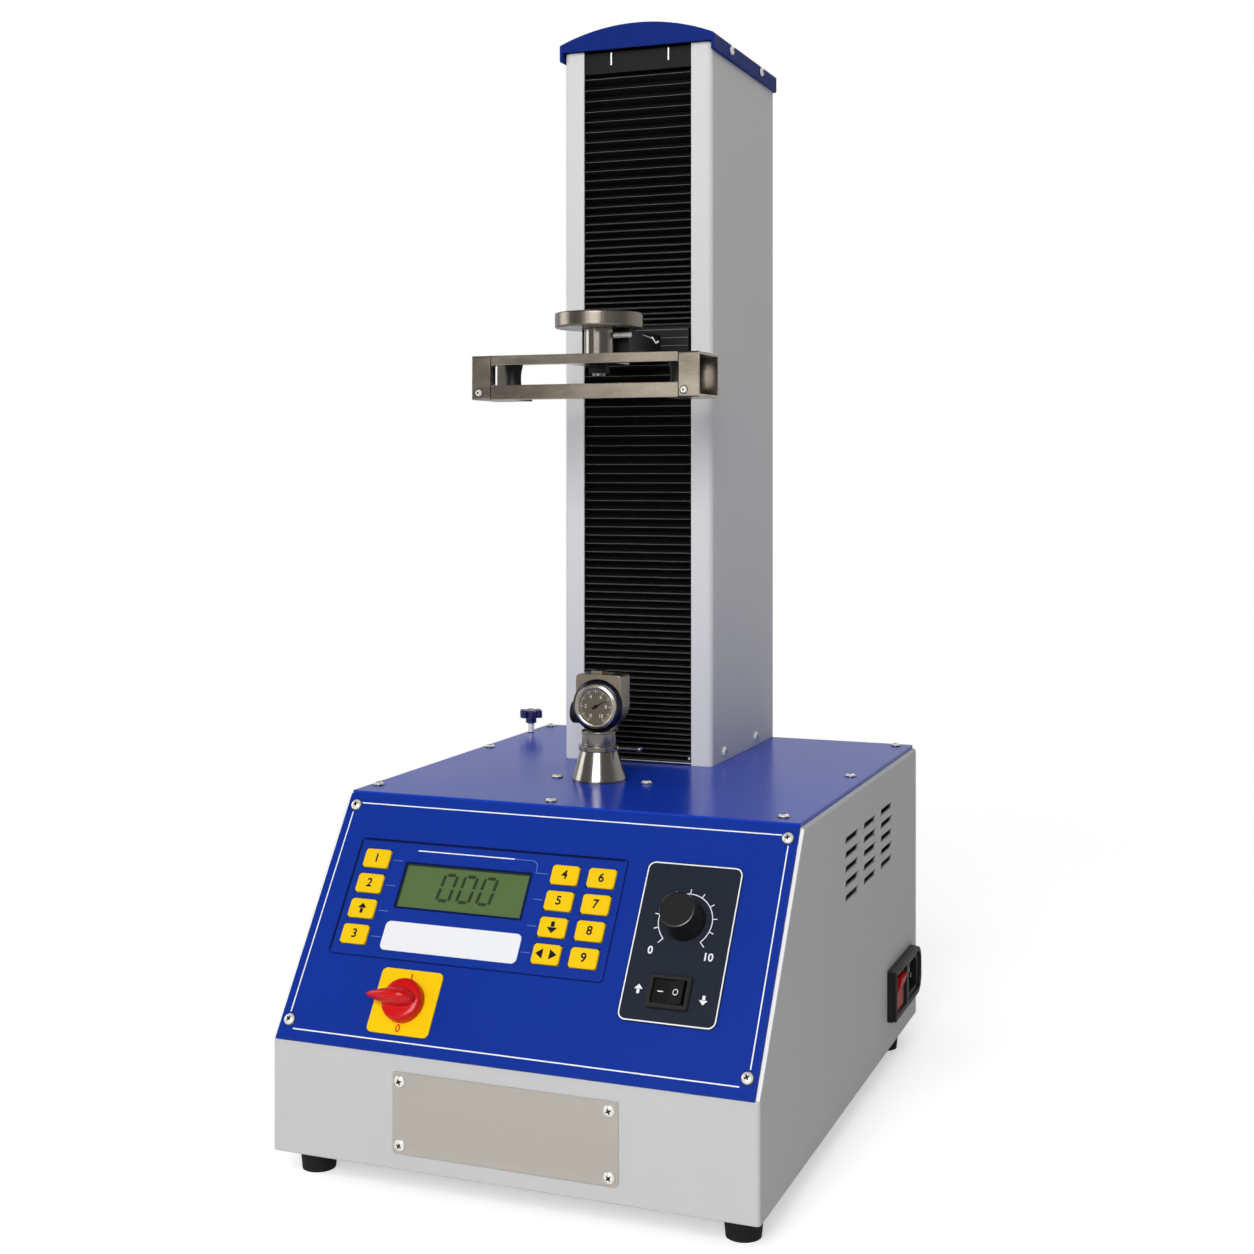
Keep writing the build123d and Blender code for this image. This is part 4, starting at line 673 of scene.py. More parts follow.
def make_bellows(name, low, high, head, folds, node):
    """Pleated coated cloth between two flat end frames."""
    chance = random.Random(folds)
    piece = bmesh.new()
    far = bellows_near + bellows_depth - 1.2
    heights = fold_heights(low + 1.2, high - head - 1.2, folds)
    chain = []
    for index, height in enumerate(heights):
        depth = bellows_near + 0.25 if index % 2 else far
        wander = chance.uniform(-0.16, 0.16) if 0 < index < len(heights) - 1 else 0
        chain.append(piece.verts.new(Vector((-bellows_width / 2, depth, height + wander)) * MM))
    creases = [piece.edges.new(pair) for pair in zip(chain, chain[1:])]
    sheet = bmesh.ops.extrude_edge_only(piece, edges=creases)
    moved = [item for item in sheet["geom"] if isinstance(item, bmesh.types.BMVert)]
    bmesh.ops.translate(piece, vec=(bellows_width * MM, 0, 0), verts=moved)
    across = [edge for edge in piece.edges if abs(edge.verts[0].co.x - edge.verts[1].co.x) > 0.01]
    bmesh.ops.subdivide_edges(piece, edges=across, cuts=7, use_grid_fill=True)
    for vert in piece.verts:
        if abs(vert.co.x) < bellows_width / 2 * MM - 0.001:
            vert.co.z += chance.uniform(-0.10, 0.06) * MM
    folded = [
        edge
        for edge in piece.edges
        if abs(edge.verts[0].co.x - edge.verts[1].co.x) > 0.004 and len(edge.link_faces) == 2
    ]
    round_off(piece, folded, fold_radius)
    bmesh.ops.recalc_face_normals(piece, faces=piece.faces)
    # The faces of the folds nearest the front take the second slot, a light grey painted highlight
    # along the creases.
    front_limit = (bellows_near + 0.95) * MM
    for face in piece.faces:
        if all(vert.co.y < front_limit for vert in face.verts):
            face.material_index = 1
    bmesh.ops.solidify(piece, geom=piece.faces[:], thickness=cloth_thick * MM)
    bmesh.ops.translate(piece, vec=(column_x * MM, 0, 0), verts=piece.verts)
    for bottom, tall in ((low, end_frame), (high - head - end_frame, head + end_frame)):
        blend_in(
            piece, block(bellows_width, bellows_depth - 0.6, tall, corner=0.8),
            at(column_x, bellows_near + bellows_depth / 2, bottom), slot=2,
        )
    shown = add_piece(
        name, piece, None, ["bellows_cloth", "bellows_crease_highlight", "bellows_band"]
    )
    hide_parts(node)
    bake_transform(shown)
    return shown


# --- camera and light ---

bpy.context.scene.view_settings.view_transform = "Standard"

camera_data = bpy.data.cameras.new("camera")
camera_data.sensor_width = 36.0  # millimetres, as the lens
camera_data.lens = 50.74
camera_data.shift_y = -0.126
camera = bpy.data.objects.new("camera", camera_data)
camera.location = (0.5061, -1.3213, 0.5030)
camera.rotation_euler = (pi / 2, 0, radians(21.09))
bpy.context.scene.collection.objects.link(camera)
bpy.context.scene.camera = camera


def add_lamp(name, place, aim, size, power, colour=(1, 1, 1)):
    """A square soft light that looks at a point."""
    data = bpy.data.lights.new(name, "AREA")
    data.shape = "SQUARE"
    data.size = size
    data.energy = power
    data.color = colour
    lamp = bpy.data.objects.new(name, data)
    lamp.location = place
    lamp.rotation_euler = (Vector(aim) - Vector(place)).to_track_quat("-Z", "Y").to_euler()
    bpy.context.scene.collection.objects.link(lamp)
    return lamp


middle = (0, 0, 0.35)
add_lamp("key_light", (0.35, -2.75, 1.75), middle, 1.7, 70)
add_lamp("left_light", (-2.7, -0.4, 1.3), middle, 1.4, 16)
add_lamp("back_light", (0.3, 2.6, 2.3), middle, 1.4, 12)
add_lamp("frame_card", (-0.62, -2.5, 0.66), (0, 0, 0.575), 0.55, 1.2, (1.0, 0.97, 0.92))


def make_world():
    """White behind the object, grey round it, so that metal keeps its contrast."""
    world = bpy.data.worlds.new("studio")
    bpy.context.scene.world = world
    world.use_nodes = True
    sky = world.node_tree
    sky.nodes.clear()
    out = add_node(sky, "OutputWorld")
    seen = add_node(sky, "Background", {"Color": (1, 1, 1, 1)})
    lit = add_node(sky, "Background", {"Color": (0.97, 0.98, 1.0, 1), "Strength": 0.26})
    ray = add_node(sky, "LightPath")
    either = add_node(sky, "Math", operation="MAXIMUM")
    choice = add_node(sky, "MixShader")
    place = add_node(sky, "TexCoord")
    parts = add_node(sky, "SeparateXYZ")
    behind = map_range(sky, -0.15, 0.55, 0.22, 0.62, smooth=True)
    above = map_range(sky, 0.35, 0.9, 1.0, 0.16, smooth=True)
    glow = add_node(sky, "Math", operation="MULTIPLY")
    strength = add_node(sky, "Math", operation="MAXIMUM")
    wire(
        sky,
        (ray, "Is Camera Ray", either, 0), (ray, "Is Glossy Ray", either, 1),
        (either, "Value", choice, "Fac"), (lit, "Background", choice, 1),
        (seen, "Background", choice, 2), (choice, "Shader", out, "Surface"),
        (place, "Generated", parts, "Vector"), (parts, "Y", behind, "Value"),
        (parts, "Z", above, "Value"), (behind, "Result", glow, 0), (above, "Result", glow, 1),
        (glow, "Value", strength, 0), (ray, "Is Camera Ray", strength, 1),
        (strength, "Value", seen, "Strength"),
    )


def make_floor():
    """A wide floor that keeps the object's shadow near it and is white further out."""
    tool = bmesh.new()
    bmesh.ops.create_grid(tool, x_segments=1, y_segments=1, size=12.0)
    mesh = bpy.data.meshes.new("floor")
    tool.to_mesh(mesh)
    tool.free()
    floor = bpy.data.objects.new("floor", mesh)
    bpy.context.scene.collection.objects.link(floor)
    paint = bpy.data.materials.new("floor_paint")
    paint.use_nodes = True
    tree = paint.node_tree
    tree.nodes.clear()
    out = add_node(tree, "OutputMaterial")
    matt = add_node(tree, "BsdfDiffuse", {"Color": (0.88, 0.88, 0.88, 1)})
    ray = add_node(tree, "LightPath")
    near_level = add_node(tree, "Math", {1: 0.49}, operation="MULTIPLY")
    near_shine = add_node(tree, "Emission")
    near = add_node(tree, "AddShader")
    far_level = map_range(tree, 0.0, 1.0, 0.5, 1.0)
    far_shine = add_node(tree, "Emission")
    place = add_node(tree, "TexCoord")
    length = add_node(tree, "VectorMath", operation="LENGTH")
    reach = map_range(tree, 0.5, 1.5, smooth=True)
    cover = add_node(tree, "MixShader")
    wire(
        tree,
        (ray, "Is Camera Ray", near_level, 0), (near_level, "Value", near_shine, "Strength"),
        (matt, "BSDF", near, 0), (near_shine, "Emission", near, 1),
        (ray, "Is Camera Ray", far_level, "Value"), (far_level, "Result", far_shine, "Strength"),
        (place, "Object", length, 0), (length, "Value", reach, "Value"),
        (reach, "Result", cover, "Fac"), (near, "Shader", cover, 1),
        (far_shine, "Emission", cover, 2), (cover, "Shader", out, "Surface"),
    )
    mesh.materials.append(paint)


make_world()
make_floor()

# --- the pieces ---

make_bellows(
    "upper_bellows_cloth", plate_high, column_top - 1, bellows_head, upper_folds, "upper_bellows",
)
make_bellows(
    "lower_bellows_cloth", deck_z, plate_low, 0, lower_folds, "lower_bellows",
)


for name, sources, width, body, finish, slot_name in (
    ("deck_plate", ["top_plate"], 0.9, "cabinet", "blue_top_painted_lighter", "blue_plate"),
    ("rounded_cap", ["column_cap"], 1.1, "cabinet", "cap_enamel_painted_darker", "blue_plate"),
    (
        "rounded_frame", ["peel_frame", "frame_ends"], 0.7, "crosshead", "satin_steel",
        "frame_steel",
    ),
    ("rounded_cell", ["load_cell"], 0.8, "crosshead", "cell_metal", "cell_metal"),
    ("rounded_grip", ["grip_body"], 1.2, "cabinet", "grip_steel", "grip_steel"),
    ("rounded_name_plate", ["name_plate"], 0.35, "cabinet", "name_metal", "name_metal"),
):
    soften(name, sources, width, body, finish)


# Screws: pan heads with a cross recess, on cup washers where they sit on the deck
screw_d = 8.0
screw_h = 2.4
slope_screws = [(side * 170.0, v) for side in (-1, 1) for v in (14.0, 179.4)]
deck_screws = [
    (-170.0, -106.0), (160.0, -116.0), (-170.0, 95.0), (164.0, 63.0), (-170.0, 230.0),
    (164.0, 230.0), (axis_x, -120.0), (axis_x - 36.0, axis_y), (axis_x + 40.0, axis_y),
]
name_screws = [(x, 59.5 + z) for x in (-77.5, 77.5) for z in (-22.0, 22.0)]
cap_half = 69.0
column_half = 66.0
column_rows = [
    (column_front + 43.5, column_top + 1.5, cap_half),
    (column_front + 130.5, column_top + 1.5, cap_half),
    (column_front + 31.5, deck_z + 8.5, column_half),
    (column_front + 121.5, deck_z + 8.5, column_half),
]


def add_screw(target, place, turn, washer=0.0):
    """One domed head with a flat dark cross painted on as the shade of its recess, and a cup washer
    if it has a width.
    """
    part = bmesh.new()
    r = screw_d / 2
    profile = [
        (0, 0), (r - 0.35, 0), (r, 0.35), (r, 1.05), (r - 0.35, 1.6), (r - 1.1, 2.05),
        (r - 2.1, screw_h - 0.1), (0, screw_h - 0.06),
    ]
    blend_in(part, lathe(profile, steps=28), Matrix.Identity(4))
    for quarter in (0, pi / 2):
        spin = Matrix.Rotation(turn + quarter, 4, "Z")
        blend_in(part, block(3.8, 1.1, 0.06), spin @ at(0, 0, screw_h - 0.09), slot=1)
    if washer:
        ring = [
            (r - 1.0, 0), (washer / 2, 0), (washer / 2 - 0.2, 0.35), (r + 0.1, 0.75),
            (r - 1.0, 0.75), (r - 1.0, 0),
        ]
        blend_in(part, lathe(ring, steps=28), Matrix.Identity(4), slot=2)
    blend_in(target, part, place, slot=None)


def make_screws():
    """The heads on the panel, the deck, the name plate and the column."""
    chance = random.Random(7)
    heads = bmesh.new()
    for x, v in slope_screws:
        add_screw(heads, on_slope(x, v, panel_thick), chance.uniform(0, pi), 9.4)
    for x, y in deck_screws:
        add_screw(heads, at(x, y, deck_z), chance.uniform(0, pi), 9.8)
    for x, z in name_screws:
        add_screw(heads, on_front(x, front_y - 1.2, z), chance.uniform(0, pi))
    shown = add_piece(
        "panel_screw_heads", heads, "cabinet", ["bright_screw", "painted_recess_shade", "cup_washer"],
        smooth=True,
    )
    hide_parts("panel_screws")
    side_heads = bmesh.new()
    for y, z, out in column_rows:
        for side in (-1, 1):
            flip = Matrix.Rotation(0 if side > 0 else pi, 4, "Z")
            place = at(column_x, y, z) @ flip @ at(out, 0, 0) @ side_turn
            add_screw(side_heads, place, chance.uniform(0, pi))
    shown = add_piece(
        "column_screw_heads", side_heads, "cabinet", ["bright_screw", "painted_recess_shade"],
        smooth=True,
    )
    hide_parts("column_screws")


make_screws()


# Print and films on the sloped panel: x across, v up the slope
print_depth = 0.08
print_line = 0.06
overlay_lift = panel_thick + 0.6
key_top = overlay_lift + 1.5
key_columns = {"left": -138.4, "middle": 12.8, "right": 40.9}
key_rows = {1: 138.1, 2: 118.7, 3: 99.3, 4: 79.9}
overlay_x = -49.0
overlay_v = 109.25
lcd_x = -63.3
lcd_v = 120.1
lcd_w = 99.5
lcd_h = 33.2
leader = 0.45


def bar(target, width, height, x, v, lift=overlay_lift, depth=print_depth):
    """A thin flat bar on the sloped panel."""
    blend_in(target, block(width, height, depth), on_slope(x, v, lift))


def make_border():
    """White line round the sloped panel, broken at the four corner screws."""
    border = bmesh.new()
    edge = 171.0
    line = 0.9
    ends = 5.6
    bottom = 14.0 + ends
    top = 179.4 - ends
    for v in (181.5, 8.0):
        bar(border, 2 * (edge - ends), line, 0, v, panel_thick)
    for x in (-edge, edge):
        bar(border, line, top - bottom, x, (top + bottom) / 2, panel_thick)
    add_piece("panel_border", border, "cabinet", ["print_white"])


make_border()


def make_slope_edge_highlights():
    """Painted highlights: white strips on the rolled edges of the housing beside the sloped panel,
    where light catches the rounded grey edge.
    """
    edges = bmesh.new()
    length = (slope_run**2 + slope_rise**2) ** 0.5
    for side in (-1, 1):
        blend_in(
            edges, block(2.6, length - 2.0, 0.35, soft=0.15),
            on_slope(side * (half_width - 1.4), length / 2, -0.1),
        )
    add_piece("slope_edge_highlights", edges, "cabinet", ["edge_highlight_white"])


make_slope_edge_highlights()


def make_keypad():
    """Outline with painted shadow along its top and left, display frame, leader lines and the bare
    plate of the keypad.
    """
    outline = bmesh.new()
    blend_in(
        outline, ring_plate(213.8, 89.3, 0.6, 2.8, print_line),
        on_slope(overlay_x, overlay_v, overlay_lift),
    )
    # Wider bars along the top and left edges: painted shadow of the raised overlay's edge.
    bar(outline, 209.0, 1.6, overlay_x, overlay_v + 43.7, depth=print_line)
    bar(outline, 1.6, 84.5, overlay_x - 106.0, overlay_v, depth=print_line)
    add_piece("keypad_outline", outline, "cabinet", ["navy_print_and_shadow"])
    rim = bmesh.new()
    blend_in(
        rim, ring_plate(lcd_w + 2.6, lcd_h + 2.6, 1.5, 1.0, 0.12),
        on_slope(lcd_x, lcd_v, overlay_lift),
    )
    add_piece("display_rim", rim, "cabinet", ["navy_print_and_shadow"])
    shade = bmesh.new()
    glass_lift = panel_thick + 0.01
    top_shade = 1.3
    side_v = lcd_v - top_shade / 2
    for width, height, x, v in (
        (lcd_w, top_shade, lcd_x, lcd_v + (lcd_h - top_shade) / 2),
        (1.3, lcd_h - top_shade, lcd_x - lcd_w / 2 + 0.65, side_v),
        (1.0, lcd_h - top_shade, lcd_x + lcd_w / 2 - 0.5, side_v),
    ):
        bar(shade, width, height, x, v, glass_lift, 0.03)
    add_piece("display_shade", shade, "cabinet", ["digit_dark"])
    lines = bmesh.new()
    bar(lines, 78.0, 0.8, -68.0, 147.0)
    add_piece("keypad_line", lines, "cabinet", ["print_white"])
    leaders = bmesh.new()
    for row, v in key_rows.items():
        bar(leaders, 7.5, leader, -121.5, v)
        if row > 1:
            bar(leaders, 7.0, leader, -3.5, v)
    bar(leaders, 14.0, leader, -22.0, 147.0)
    blend_in(
        leaders, arc_band(5.0, leader, print_depth, 0, pi / 2, steps=12),
        on_slope(-15.0, 142.0, overlay_lift),
    )
    bar(leaders, leader, 4.0, -10.0, 140.0)
    bar(leaders, 9.5, leader, -5.2, key_rows[1])
    add_piece("keypad_leaders", leaders, "cabinet", ["print_pale"])
    plate = bmesh.new()
    blend_in(
        plate, block(107.5, 21.6, 0.6, corner=4, soft=0.25), on_slope(-62.25, 81.6, overlay_lift)
    )
    add_piece("bare_plate", plate, "cabinet", ["bare_white"])


make_keypad()


def make_digits():
    """Three leaning figures on the display, each of six dark bars."""
    digits = bmesh.new()
    wide = 9.6
    tall = 19.6
    stroke = 2.4
    thin = 0.05
    lean = Matrix.Identity(4)
    lean[0][1] = 0.13
    upright = (stroke, tall / 2 - 1.1)
    level = (wide - stroke - 0.7, stroke)
    for centre in (-76.2, -60.2, -44.2):
        figure = bmesh.new()
        strokes = [
            (upright, side * wide / 2, end * (tall / 4 + 0.2))
            for side in (-1, 1) for end in (-1, 1)
        ]
        strokes += [(level, 0, end * tall / 2) for end in (-1, 1)]
        for (width, height), x, y in strokes:
            blend_in(figure, block(width, height, thin, corner=0.8, steps=2), at(x, y, 0))
        blend_in(digits, figure, on_slope(centre, lcd_v + 0.9, panel_thick + 0.02) @ lean)
    add_piece("display_digits", digits, "cabinet", ["digit_dark"])


make_digits()


def arrow(size, depth=0.06):
    """A plain arrow that points up: a head on a short stem."""
    part = bmesh.new()
    blend_in(part, wedge(size, size * 0.55, depth), at(0, size * 0.2, 0))
    blend_in(part, block(size * 0.34, size * 0.5, depth), at(0, -size * 0.28, 0))
    return part


def make_key_marks():
    """Plain numbers and arrows on the keys, each riding on its key."""
    figures = {
        "left_1": "1", "left_2": "2", "left_4": "3", "middle_1": "4", "middle_2": "5",
        "right_1": "6", "right_2": "7", "right_3": "8", "right_4": "9",
    }
    lift = key_top + 0.01
    for column, x in key_columns.items():
        for row, v in key_rows.items():
            mark = bmesh.new()
            spot = f"{column}_{row}"
            if spot in figures:
                blend_in(mark, printed(figures[spot], 9.0), on_slope(x, v, lift + 0.03))
            elif spot == "left_3":
                blend_in(mark, arrow(7.0), on_slope(x, v, lift))
            elif spot == "middle_3":
                blend_in(mark, arrow(8.0), on_slope(x, v, lift, pi))
            else:
                blend_in(mark, wedge(7.4, 5.6), on_slope(x - 4.4, v, lift, pi / 2))
                blend_in(mark, wedge(7.4, 5.6), on_slope(x + 4.4, v, lift, -pi / 2))
            add_piece(f"key_mark_{spot}", mark, f"key_{spot}", ["print_dark"])


make_key_marks()

knob_x = 108.2
knob_v = 113.5
rocker_x = 107.0
rocker_v = 63.0
stop_x = -84.0
stop_v = 35.5
figure_size = 7.5
figure_lift = label_top + 0.03


def make_speed_marks():
    """White outline, arc scale with ticks, end figures and the two arrows of the speed plate."""
    marks = bmesh.new()
    blend_in(
        marks, ring_plate(69.3, 112.5, 0.9, 5.5, print_depth), on_slope(knob_x, 98.0, label_top)
    )
    radius = 19.3
    line = 0.65
    begin = radians(-46)
    sweep = radians(272)
    steps = 10
    blend_in(
        marks, arc_band(radius, line, print_depth, begin, sweep),
        on_slope(knob_x, knob_v, label_top),
    )
    for step in range(steps + 1):
        angle = begin + sweep * step / steps
        length = 4.6 if step % steps == 0 else 3.4
        blend_in(
            marks, block(length, line, print_depth),
            on_slope(knob_x, knob_v, label_top, angle) @ at(radius + length / 2, 0, 0),
        )
    for figures, x, v in (("0", 87.4, 90.6), ("10", 129.0, 89.6)):
        blend_in(marks, printed(figures, figure_size), on_slope(x, v, figure_lift))
    blend_in(marks, arrow(6.0), on_slope(84.6, 63.5, label_top))
    blend_in(marks, arrow(6.0), on_slope(131.4, 60.5, label_top, pi))
    add_piece("speed_marks", marks, "cabinet", ["print_white"])


make_speed_marks()


def make_switch_marks():
    """The bar and the ring on the direction rocker, and the figures by the stop switch."""
    rocker = bmesh.new()
    bend = radians(8)
    pivot = on_slope(rocker_x, rocker_v, 1.0) @ Matrix.Rotation(-bend, 4, "Y")
    left = pivot @ at(0, 0, 3.22) @ Matrix.Rotation(bend, 4, "Y")
    right = pivot @ at(0, 0, 3.22) @ Matrix.Rotation(-bend, 4, "Y")
    blend_in(rocker, block(4.2, 0.7, 0.05), left @ at(-5.8, 0, 0))
    blend_in(rocker, arc_band(1.9, 0.55, 0.05, 0, full_turn, steps=28), right @ at(5.6, 0, 0))
    add_piece("rocker_marks", rocker, "direction_rocker", ["print_white"])
    figures = bmesh.new()
    for figure, v in (("1", 53.0), ("0", 16.8)):
        blend_in(figures, printed(figure, figure_size), on_slope(stop_x, v, figure_lift))
    add_piece("stop_figures", figures, "cabinet", ["print_red"])


make_switch_marks()


def make_red_knob():
    """Red switch: a round disc with a rounded lever that tapers to its tip."""
    knob = bmesh.new()
    place = on_slope(stop_x, stop_v, label_top)
    disc = [
        (0, 0.2), (14.2, 0.2), (15.0, 0.8), (15.0, 6.6), (14.4, 8.0), (13.2, 8.8), (11.0, 9.2),
        (0, 9.4),
    ]
    blend_in(knob, lathe(disc, steps=64), place)
    lever = bmesh.new()
    bmesh.ops.create_uvsphere(lever, u_segments=40, v_segments=20, radius=1.0)
    for vert in lever.verts:
        x, y, z = vert.co
        taper = 1.0 - 0.45 * max(0.0, -x) ** 1.5
        vert.co.x = x * (26.8 if x < 0 else 12.0) * MM
        vert.co.y = y * 6.4 * taper * MM
        vert.co.z = (8.6 + z * (11.2 * (1.0 - 0.25 * max(0.0, -x)) if z > 0 else 3.2)) * MM
    blend_in(knob, lever, place)
    shown = add_piece("stop_knob_shell", knob, "stop_knob", ["red_gloss"], smooth=True)
    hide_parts("stop_knob")


make_red_knob()


def make_knob_edge():
    """Polished edge round the flat top of the speed knob."""
    ring = bmesh.new()
    profile = [(11.9, 0), (12.45, 0), (12.45, 0.25), (12.2, 0.55), (11.9, 0.6), (11.9, 0)]
    blend_in(ring, lathe(profile, steps=64), on_slope(knob_x, knob_v, label_top + 20.9))
    add_piece("speed_knob_edge", ring, "speed_knob", ["knob_rim"], smooth=True)


make_knob_edge()


def make_gauge():
    """Dial gauge of the lower grip: dark drum, stepped bezel, worn face, ticks and figures."""
    facing = on_front(axis_x, body_front, dial_z)
    drum = bmesh.new()
    profile = [
        (0, 0), (20.4, 0), (21, 0.5), (21, 1.2), (20.6, 1.8), (18.4, 3.5), (17.4, 4.0), (0, 4.0),
    ]
    blend_in(drum, lathe(profile, steps=72), facing)
    add_piece("gauge_drum", drum, "cabinet", ["gauge_drum"], smooth=True)
    bezel = bmesh.new()
    ring = [
        (13.6, 4.0), (17.2, 4.0), (17.5, 4.3), (17.5, 6.1), (17.2, 6.6), (16.6, 6.8), (16.4, 7.2),
        (15.8, 7.5), (15.2, 7.45), (14.9, 7.1), (14.6, 7.0), (14.2, 6.9), (13.9, 6.5), (13.6, 5.2),
        (13.6, 4.0),
    ]
    blend_in(bezel, lathe(ring, steps=72), facing)
    add_piece("gauge_bezel", bezel, "cabinet", ["bezel_steel"], smooth=True)
    face = bmesh.new()
    blend_in(face, lathe([(0, 4.4), (13.8, 4.4), (13.8, 5.05), (0, 5.05)], steps=64), facing)
    shown = add_piece("gauge_face", face, "cabinet", ["gauge_face"])
    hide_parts("dial_gauge")
    marks = bmesh.new()
    ticks = 40
    first = radians(-150)
    sweep = radians(300)
    for tick in range(ticks + 1):
        turn = first + sweep * tick / ticks
        long = tick % 4 == 0
        place = facing @ Matrix.Rotation(-turn, 4, "Z")
        blend_in(
            marks, block(0.55 if long else 0.3, 2.6 if long else 1.5, 0.05),
            place @ at(0, 12.2 if long else 12.8, 5.06),
        )
        if tick % 8 == 0:
            flat = Matrix.Rotation(turn, 4, "Z")
            blend_in(marks, printed(str(tick // 4), 3.9, 0.05), place @ at(0, 8.6, 5.1) @ flat)
    add_piece("gauge_marks", marks, "cabinet", ["print_pale_metal"])


make_gauge()


def make_frame_details():
    """Painted shade in the seams of the peel frame's ends, the dark nut under its hub and bright
    bits by the stem.
    """
    # Dark strips on the seams are painted shade of the gaps between the parts.
    seams = bmesh.new()
    for side in (-1, 1):
        x = frame_x + side * (frame_half - 16.5)
        blend_in(seams, block(0.7, 35.0, 0.06), on_front(x, frame_front, 575.5))
        for z, lift in ((593.0, 0), (558.0, -0.06)):
            blend_in(seams, block(0.7, 8.5, 0.06), at(x, frame_front + 4.5, z + lift))
    add_piece("frame_seam_shade", seams, "crosshead", ["painted_recess_shade"])
    nut = bmesh.new()
    ring = bmesh.new()
    bmesh.ops.create_circle(ring, cap_ends=True, segments=6, radius=8.25 * MM)
    raise_faces(ring, 7.0)
    round_off(ring, [edge for edge in ring.edges if rise(edge) < tiny], 0.5, 1)
    blend_in(nut, ring, at(axis_x, axis_y, 578.5))
    thread = [(0, 0), (5.2, 0), (5.2, 2.0), (0, 2.0)]
    blend_in(nut, lathe(thread, steps=24), at(axis_x, axis_y, 576.5), 1)
    stem = [(0, 0), (11.3, 0), (11.7, 0.4), (11.7, 20.6), (11.3, 21.0), (0, 21.0)]
    blend_in(nut, lathe(stem, steps=64), at(axis_x, axis_y, 593.0), 1)
    shown = add_piece(
        "stem_and_nut", nut, "crosshead", ["black_satin", "turned_steel"],
        smooth=True,
    )
    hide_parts("fixture_stem")
    bits = bmesh.new()
    clip = [
        (0, 0), (2.3, 0), (2.3, 5.0), (1.7, 5.3), (1.7, 6.2), (2.3, 6.5), (2.3, 13.6), (1.9, 14.2),
        (0, 14.2),
    ]
    blend_in(bits, lathe(clip, steps=24), on_right(axis_x + 12.4, axis_y + 1.0, 608.6))
    for x, z, length, turn, radius in (
        (11.0, 609.3, 9.0, -0.35, 0.45), (16.6, 606.2, 6.5, -1.0, 0.5),
        (19.4, 604.6, 2.6, 0.5, 0.8),
    ):
        rod = [(0, -length / 2), (radius, -length / 2), (radius, length / 2), (0, length / 2)]
        blend_in(
            bits, lathe(rod, steps=12), at(x, 8.0, z) @ Matrix.Rotation(pi / 2 - turn, 4, "Y")
        )
    add_piece(
        "crosshead_bright_bits", bits, "crosshead", ["bright_screw"], smooth=True
    )
    # Thin light strips on the dark crosshead plate: painted highlights along its edges and folds.
    strips = bmesh.new()
    for z, tall in ((618.9, 0.55), (612.2, 0.4), (605.6, 0.4), (599.4, 0.4)):
        blend_in(strips, block(91.0, tall, 0.25), on_front(column_x, 62.5, z))
    add_piece("crosshead_highlight_strips", strips, "crosshead", ["bellows_crease_highlight"])
    # Painted shadow rings round the frame's screw heads, and a dark dot painted as the shade of
    # each recess.
    marks = bmesh.new()
    for x in (frame_x - frame_half + 6.0, frame_x + frame_half - 12.0):
        blend_in(
            marks, arc_band(3.25, 0.5, 0.05, 0, full_turn), on_front(x, frame_front, frame_screw_z)
        )
        blend_in(
            marks, lathe([(0, 0), (0.95, 0), (0.95, 0.06), (0, 0.06)], steps=6),
            on_front(x, frame_front - 1.8, frame_screw_z),
        )
    add_piece("frame_screw_shadows", marks, "crosshead", ["painted_recess_shade"])


make_frame_details()


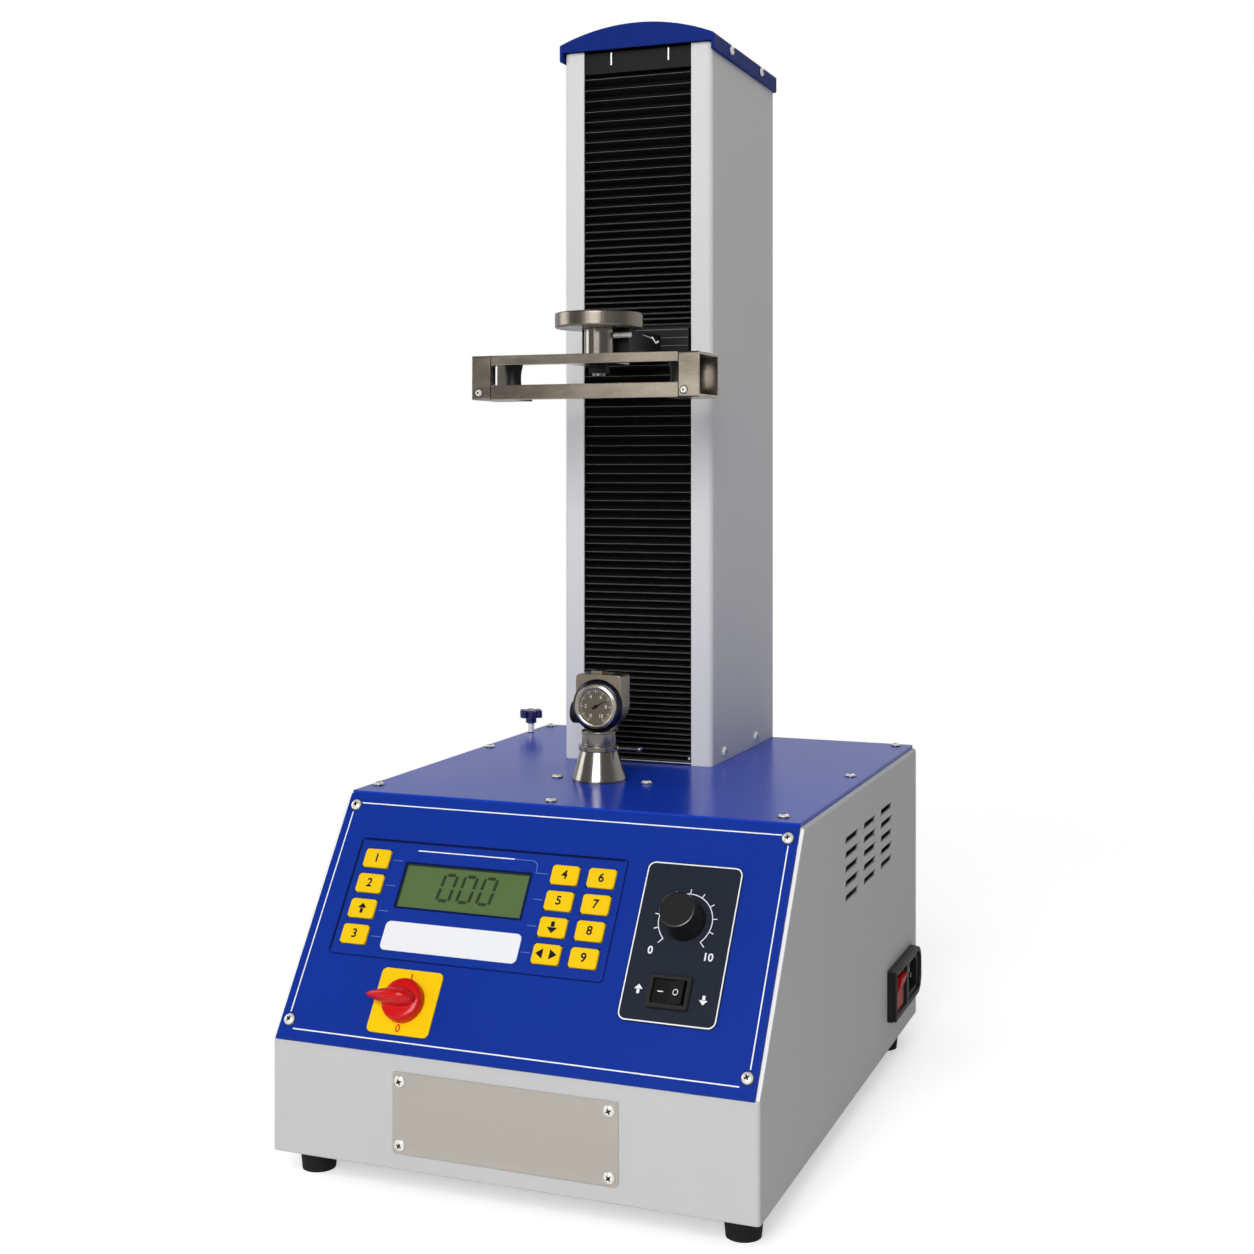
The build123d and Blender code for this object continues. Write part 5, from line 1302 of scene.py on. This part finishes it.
def make_inlet_rim():
    """Raised rim of the mains inlet, with the bar between its switch and its socket."""
    part = bmesh.new()
    bmesh.ops.create_grid(part, x_segments=1, y_segments=1, size=0.5)
    bmesh.ops.scale(part, vec=Vector((102.0, 41.0, 1000)) * MM, verts=part.verts)
    rear = [vert for vert in part.verts if vert.co.x > 0]
    round_off(part, rear, 14.5, 8, "VERTICES")
    hollow_out(part, 4.2)
    raise_faces(part, 2.2)
    top = max(vert.co.z for vert in part.verts)
    rim = [
        edge for edge in part.edges
        if all(top - vert.co.z < tiny for vert in edge.verts)
        and len({round(face.normal.z, 3) for face in edge.link_faces}) > 1
    ]
    round_off(part, rim, 0.7)
    shown = bmesh.new()
    blend_in(shown, part, on_right(inlet_front, 175.5, inlet_z))
    blend_in(shown, block(5.0, 33.0, 2.0, soft=0.6), on_right(inlet_front, 169.0, inlet_z))
    add_piece("inlet_rim", shown, "cabinet", ["black_satin"], smooth=True)


make_inlet_rim()


def make_cap_pins():
    """Two bright pins that hold the upper bellows under the cap."""
    pins = bmesh.new()
    for x in (-42.8, 8.4):
        pin = [(0, 0), (0.75, 0.2), (0.75, 10.8), (0, 11.0)]
        blend_in(pins, lathe(pin, steps=16), at(x, 65.2, 843.5))
    add_piece("cap_pins", pins, "cabinet", ["bright_screw"], smooth=True)


make_cap_pins()


def make_small_trim():
    """Strip and dot at the foot of the lower bellows, the star knob's stud, the grip's sleeve."""
    trim = bmesh.new()
    foot_y = bellows_near + 0.2
    blend_in(trim, block(bellows_width - 2, 0.7, 0.3), on_front(column_x, foot_y, deck_z + 1.6))
    dot = [(0, 0), (1.0, 0), (1.0, 0.5), (0.7, 0.7), (0, 0.7)]
    blend_in(trim, lathe(dot, steps=16), on_front(column_x + 45.5, foot_y, deck_z + 5.5))
    add_piece("bellows_foot_trim", trim, "cabinet", ["bright_screw"])
    stud = bmesh.new()
    sleeve = [(2.5, 0), (2.8, 0.2), (2.8, 8.2), (2.5, 8.4), (2.5, 0)]
    blend_in(stud, lathe(sleeve, steps=28), at(star_x, star_y, deck_z + 0.4))
    add_piece("star_stud", stud, "star_knob", ["bright_screw"], smooth=True)
    neck = bmesh.new()
    band = [
        (13.55, 0), (13.75, 0.2), (13.75, 0.9), (13.6, 1.1), (13.6, 9.4), (13.9, 9.6), (13.9, 10.6),
        (13.7, 10.8), (13.5, 10.8), (13.55, 0),
    ]
    blend_in(neck, lathe(band, steps=64), at(axis_x, axis_y, deck_z + 28.6))
    add_piece("grip_sleeve", neck, "cabinet", ["chrome"], smooth=True)


make_small_trim()
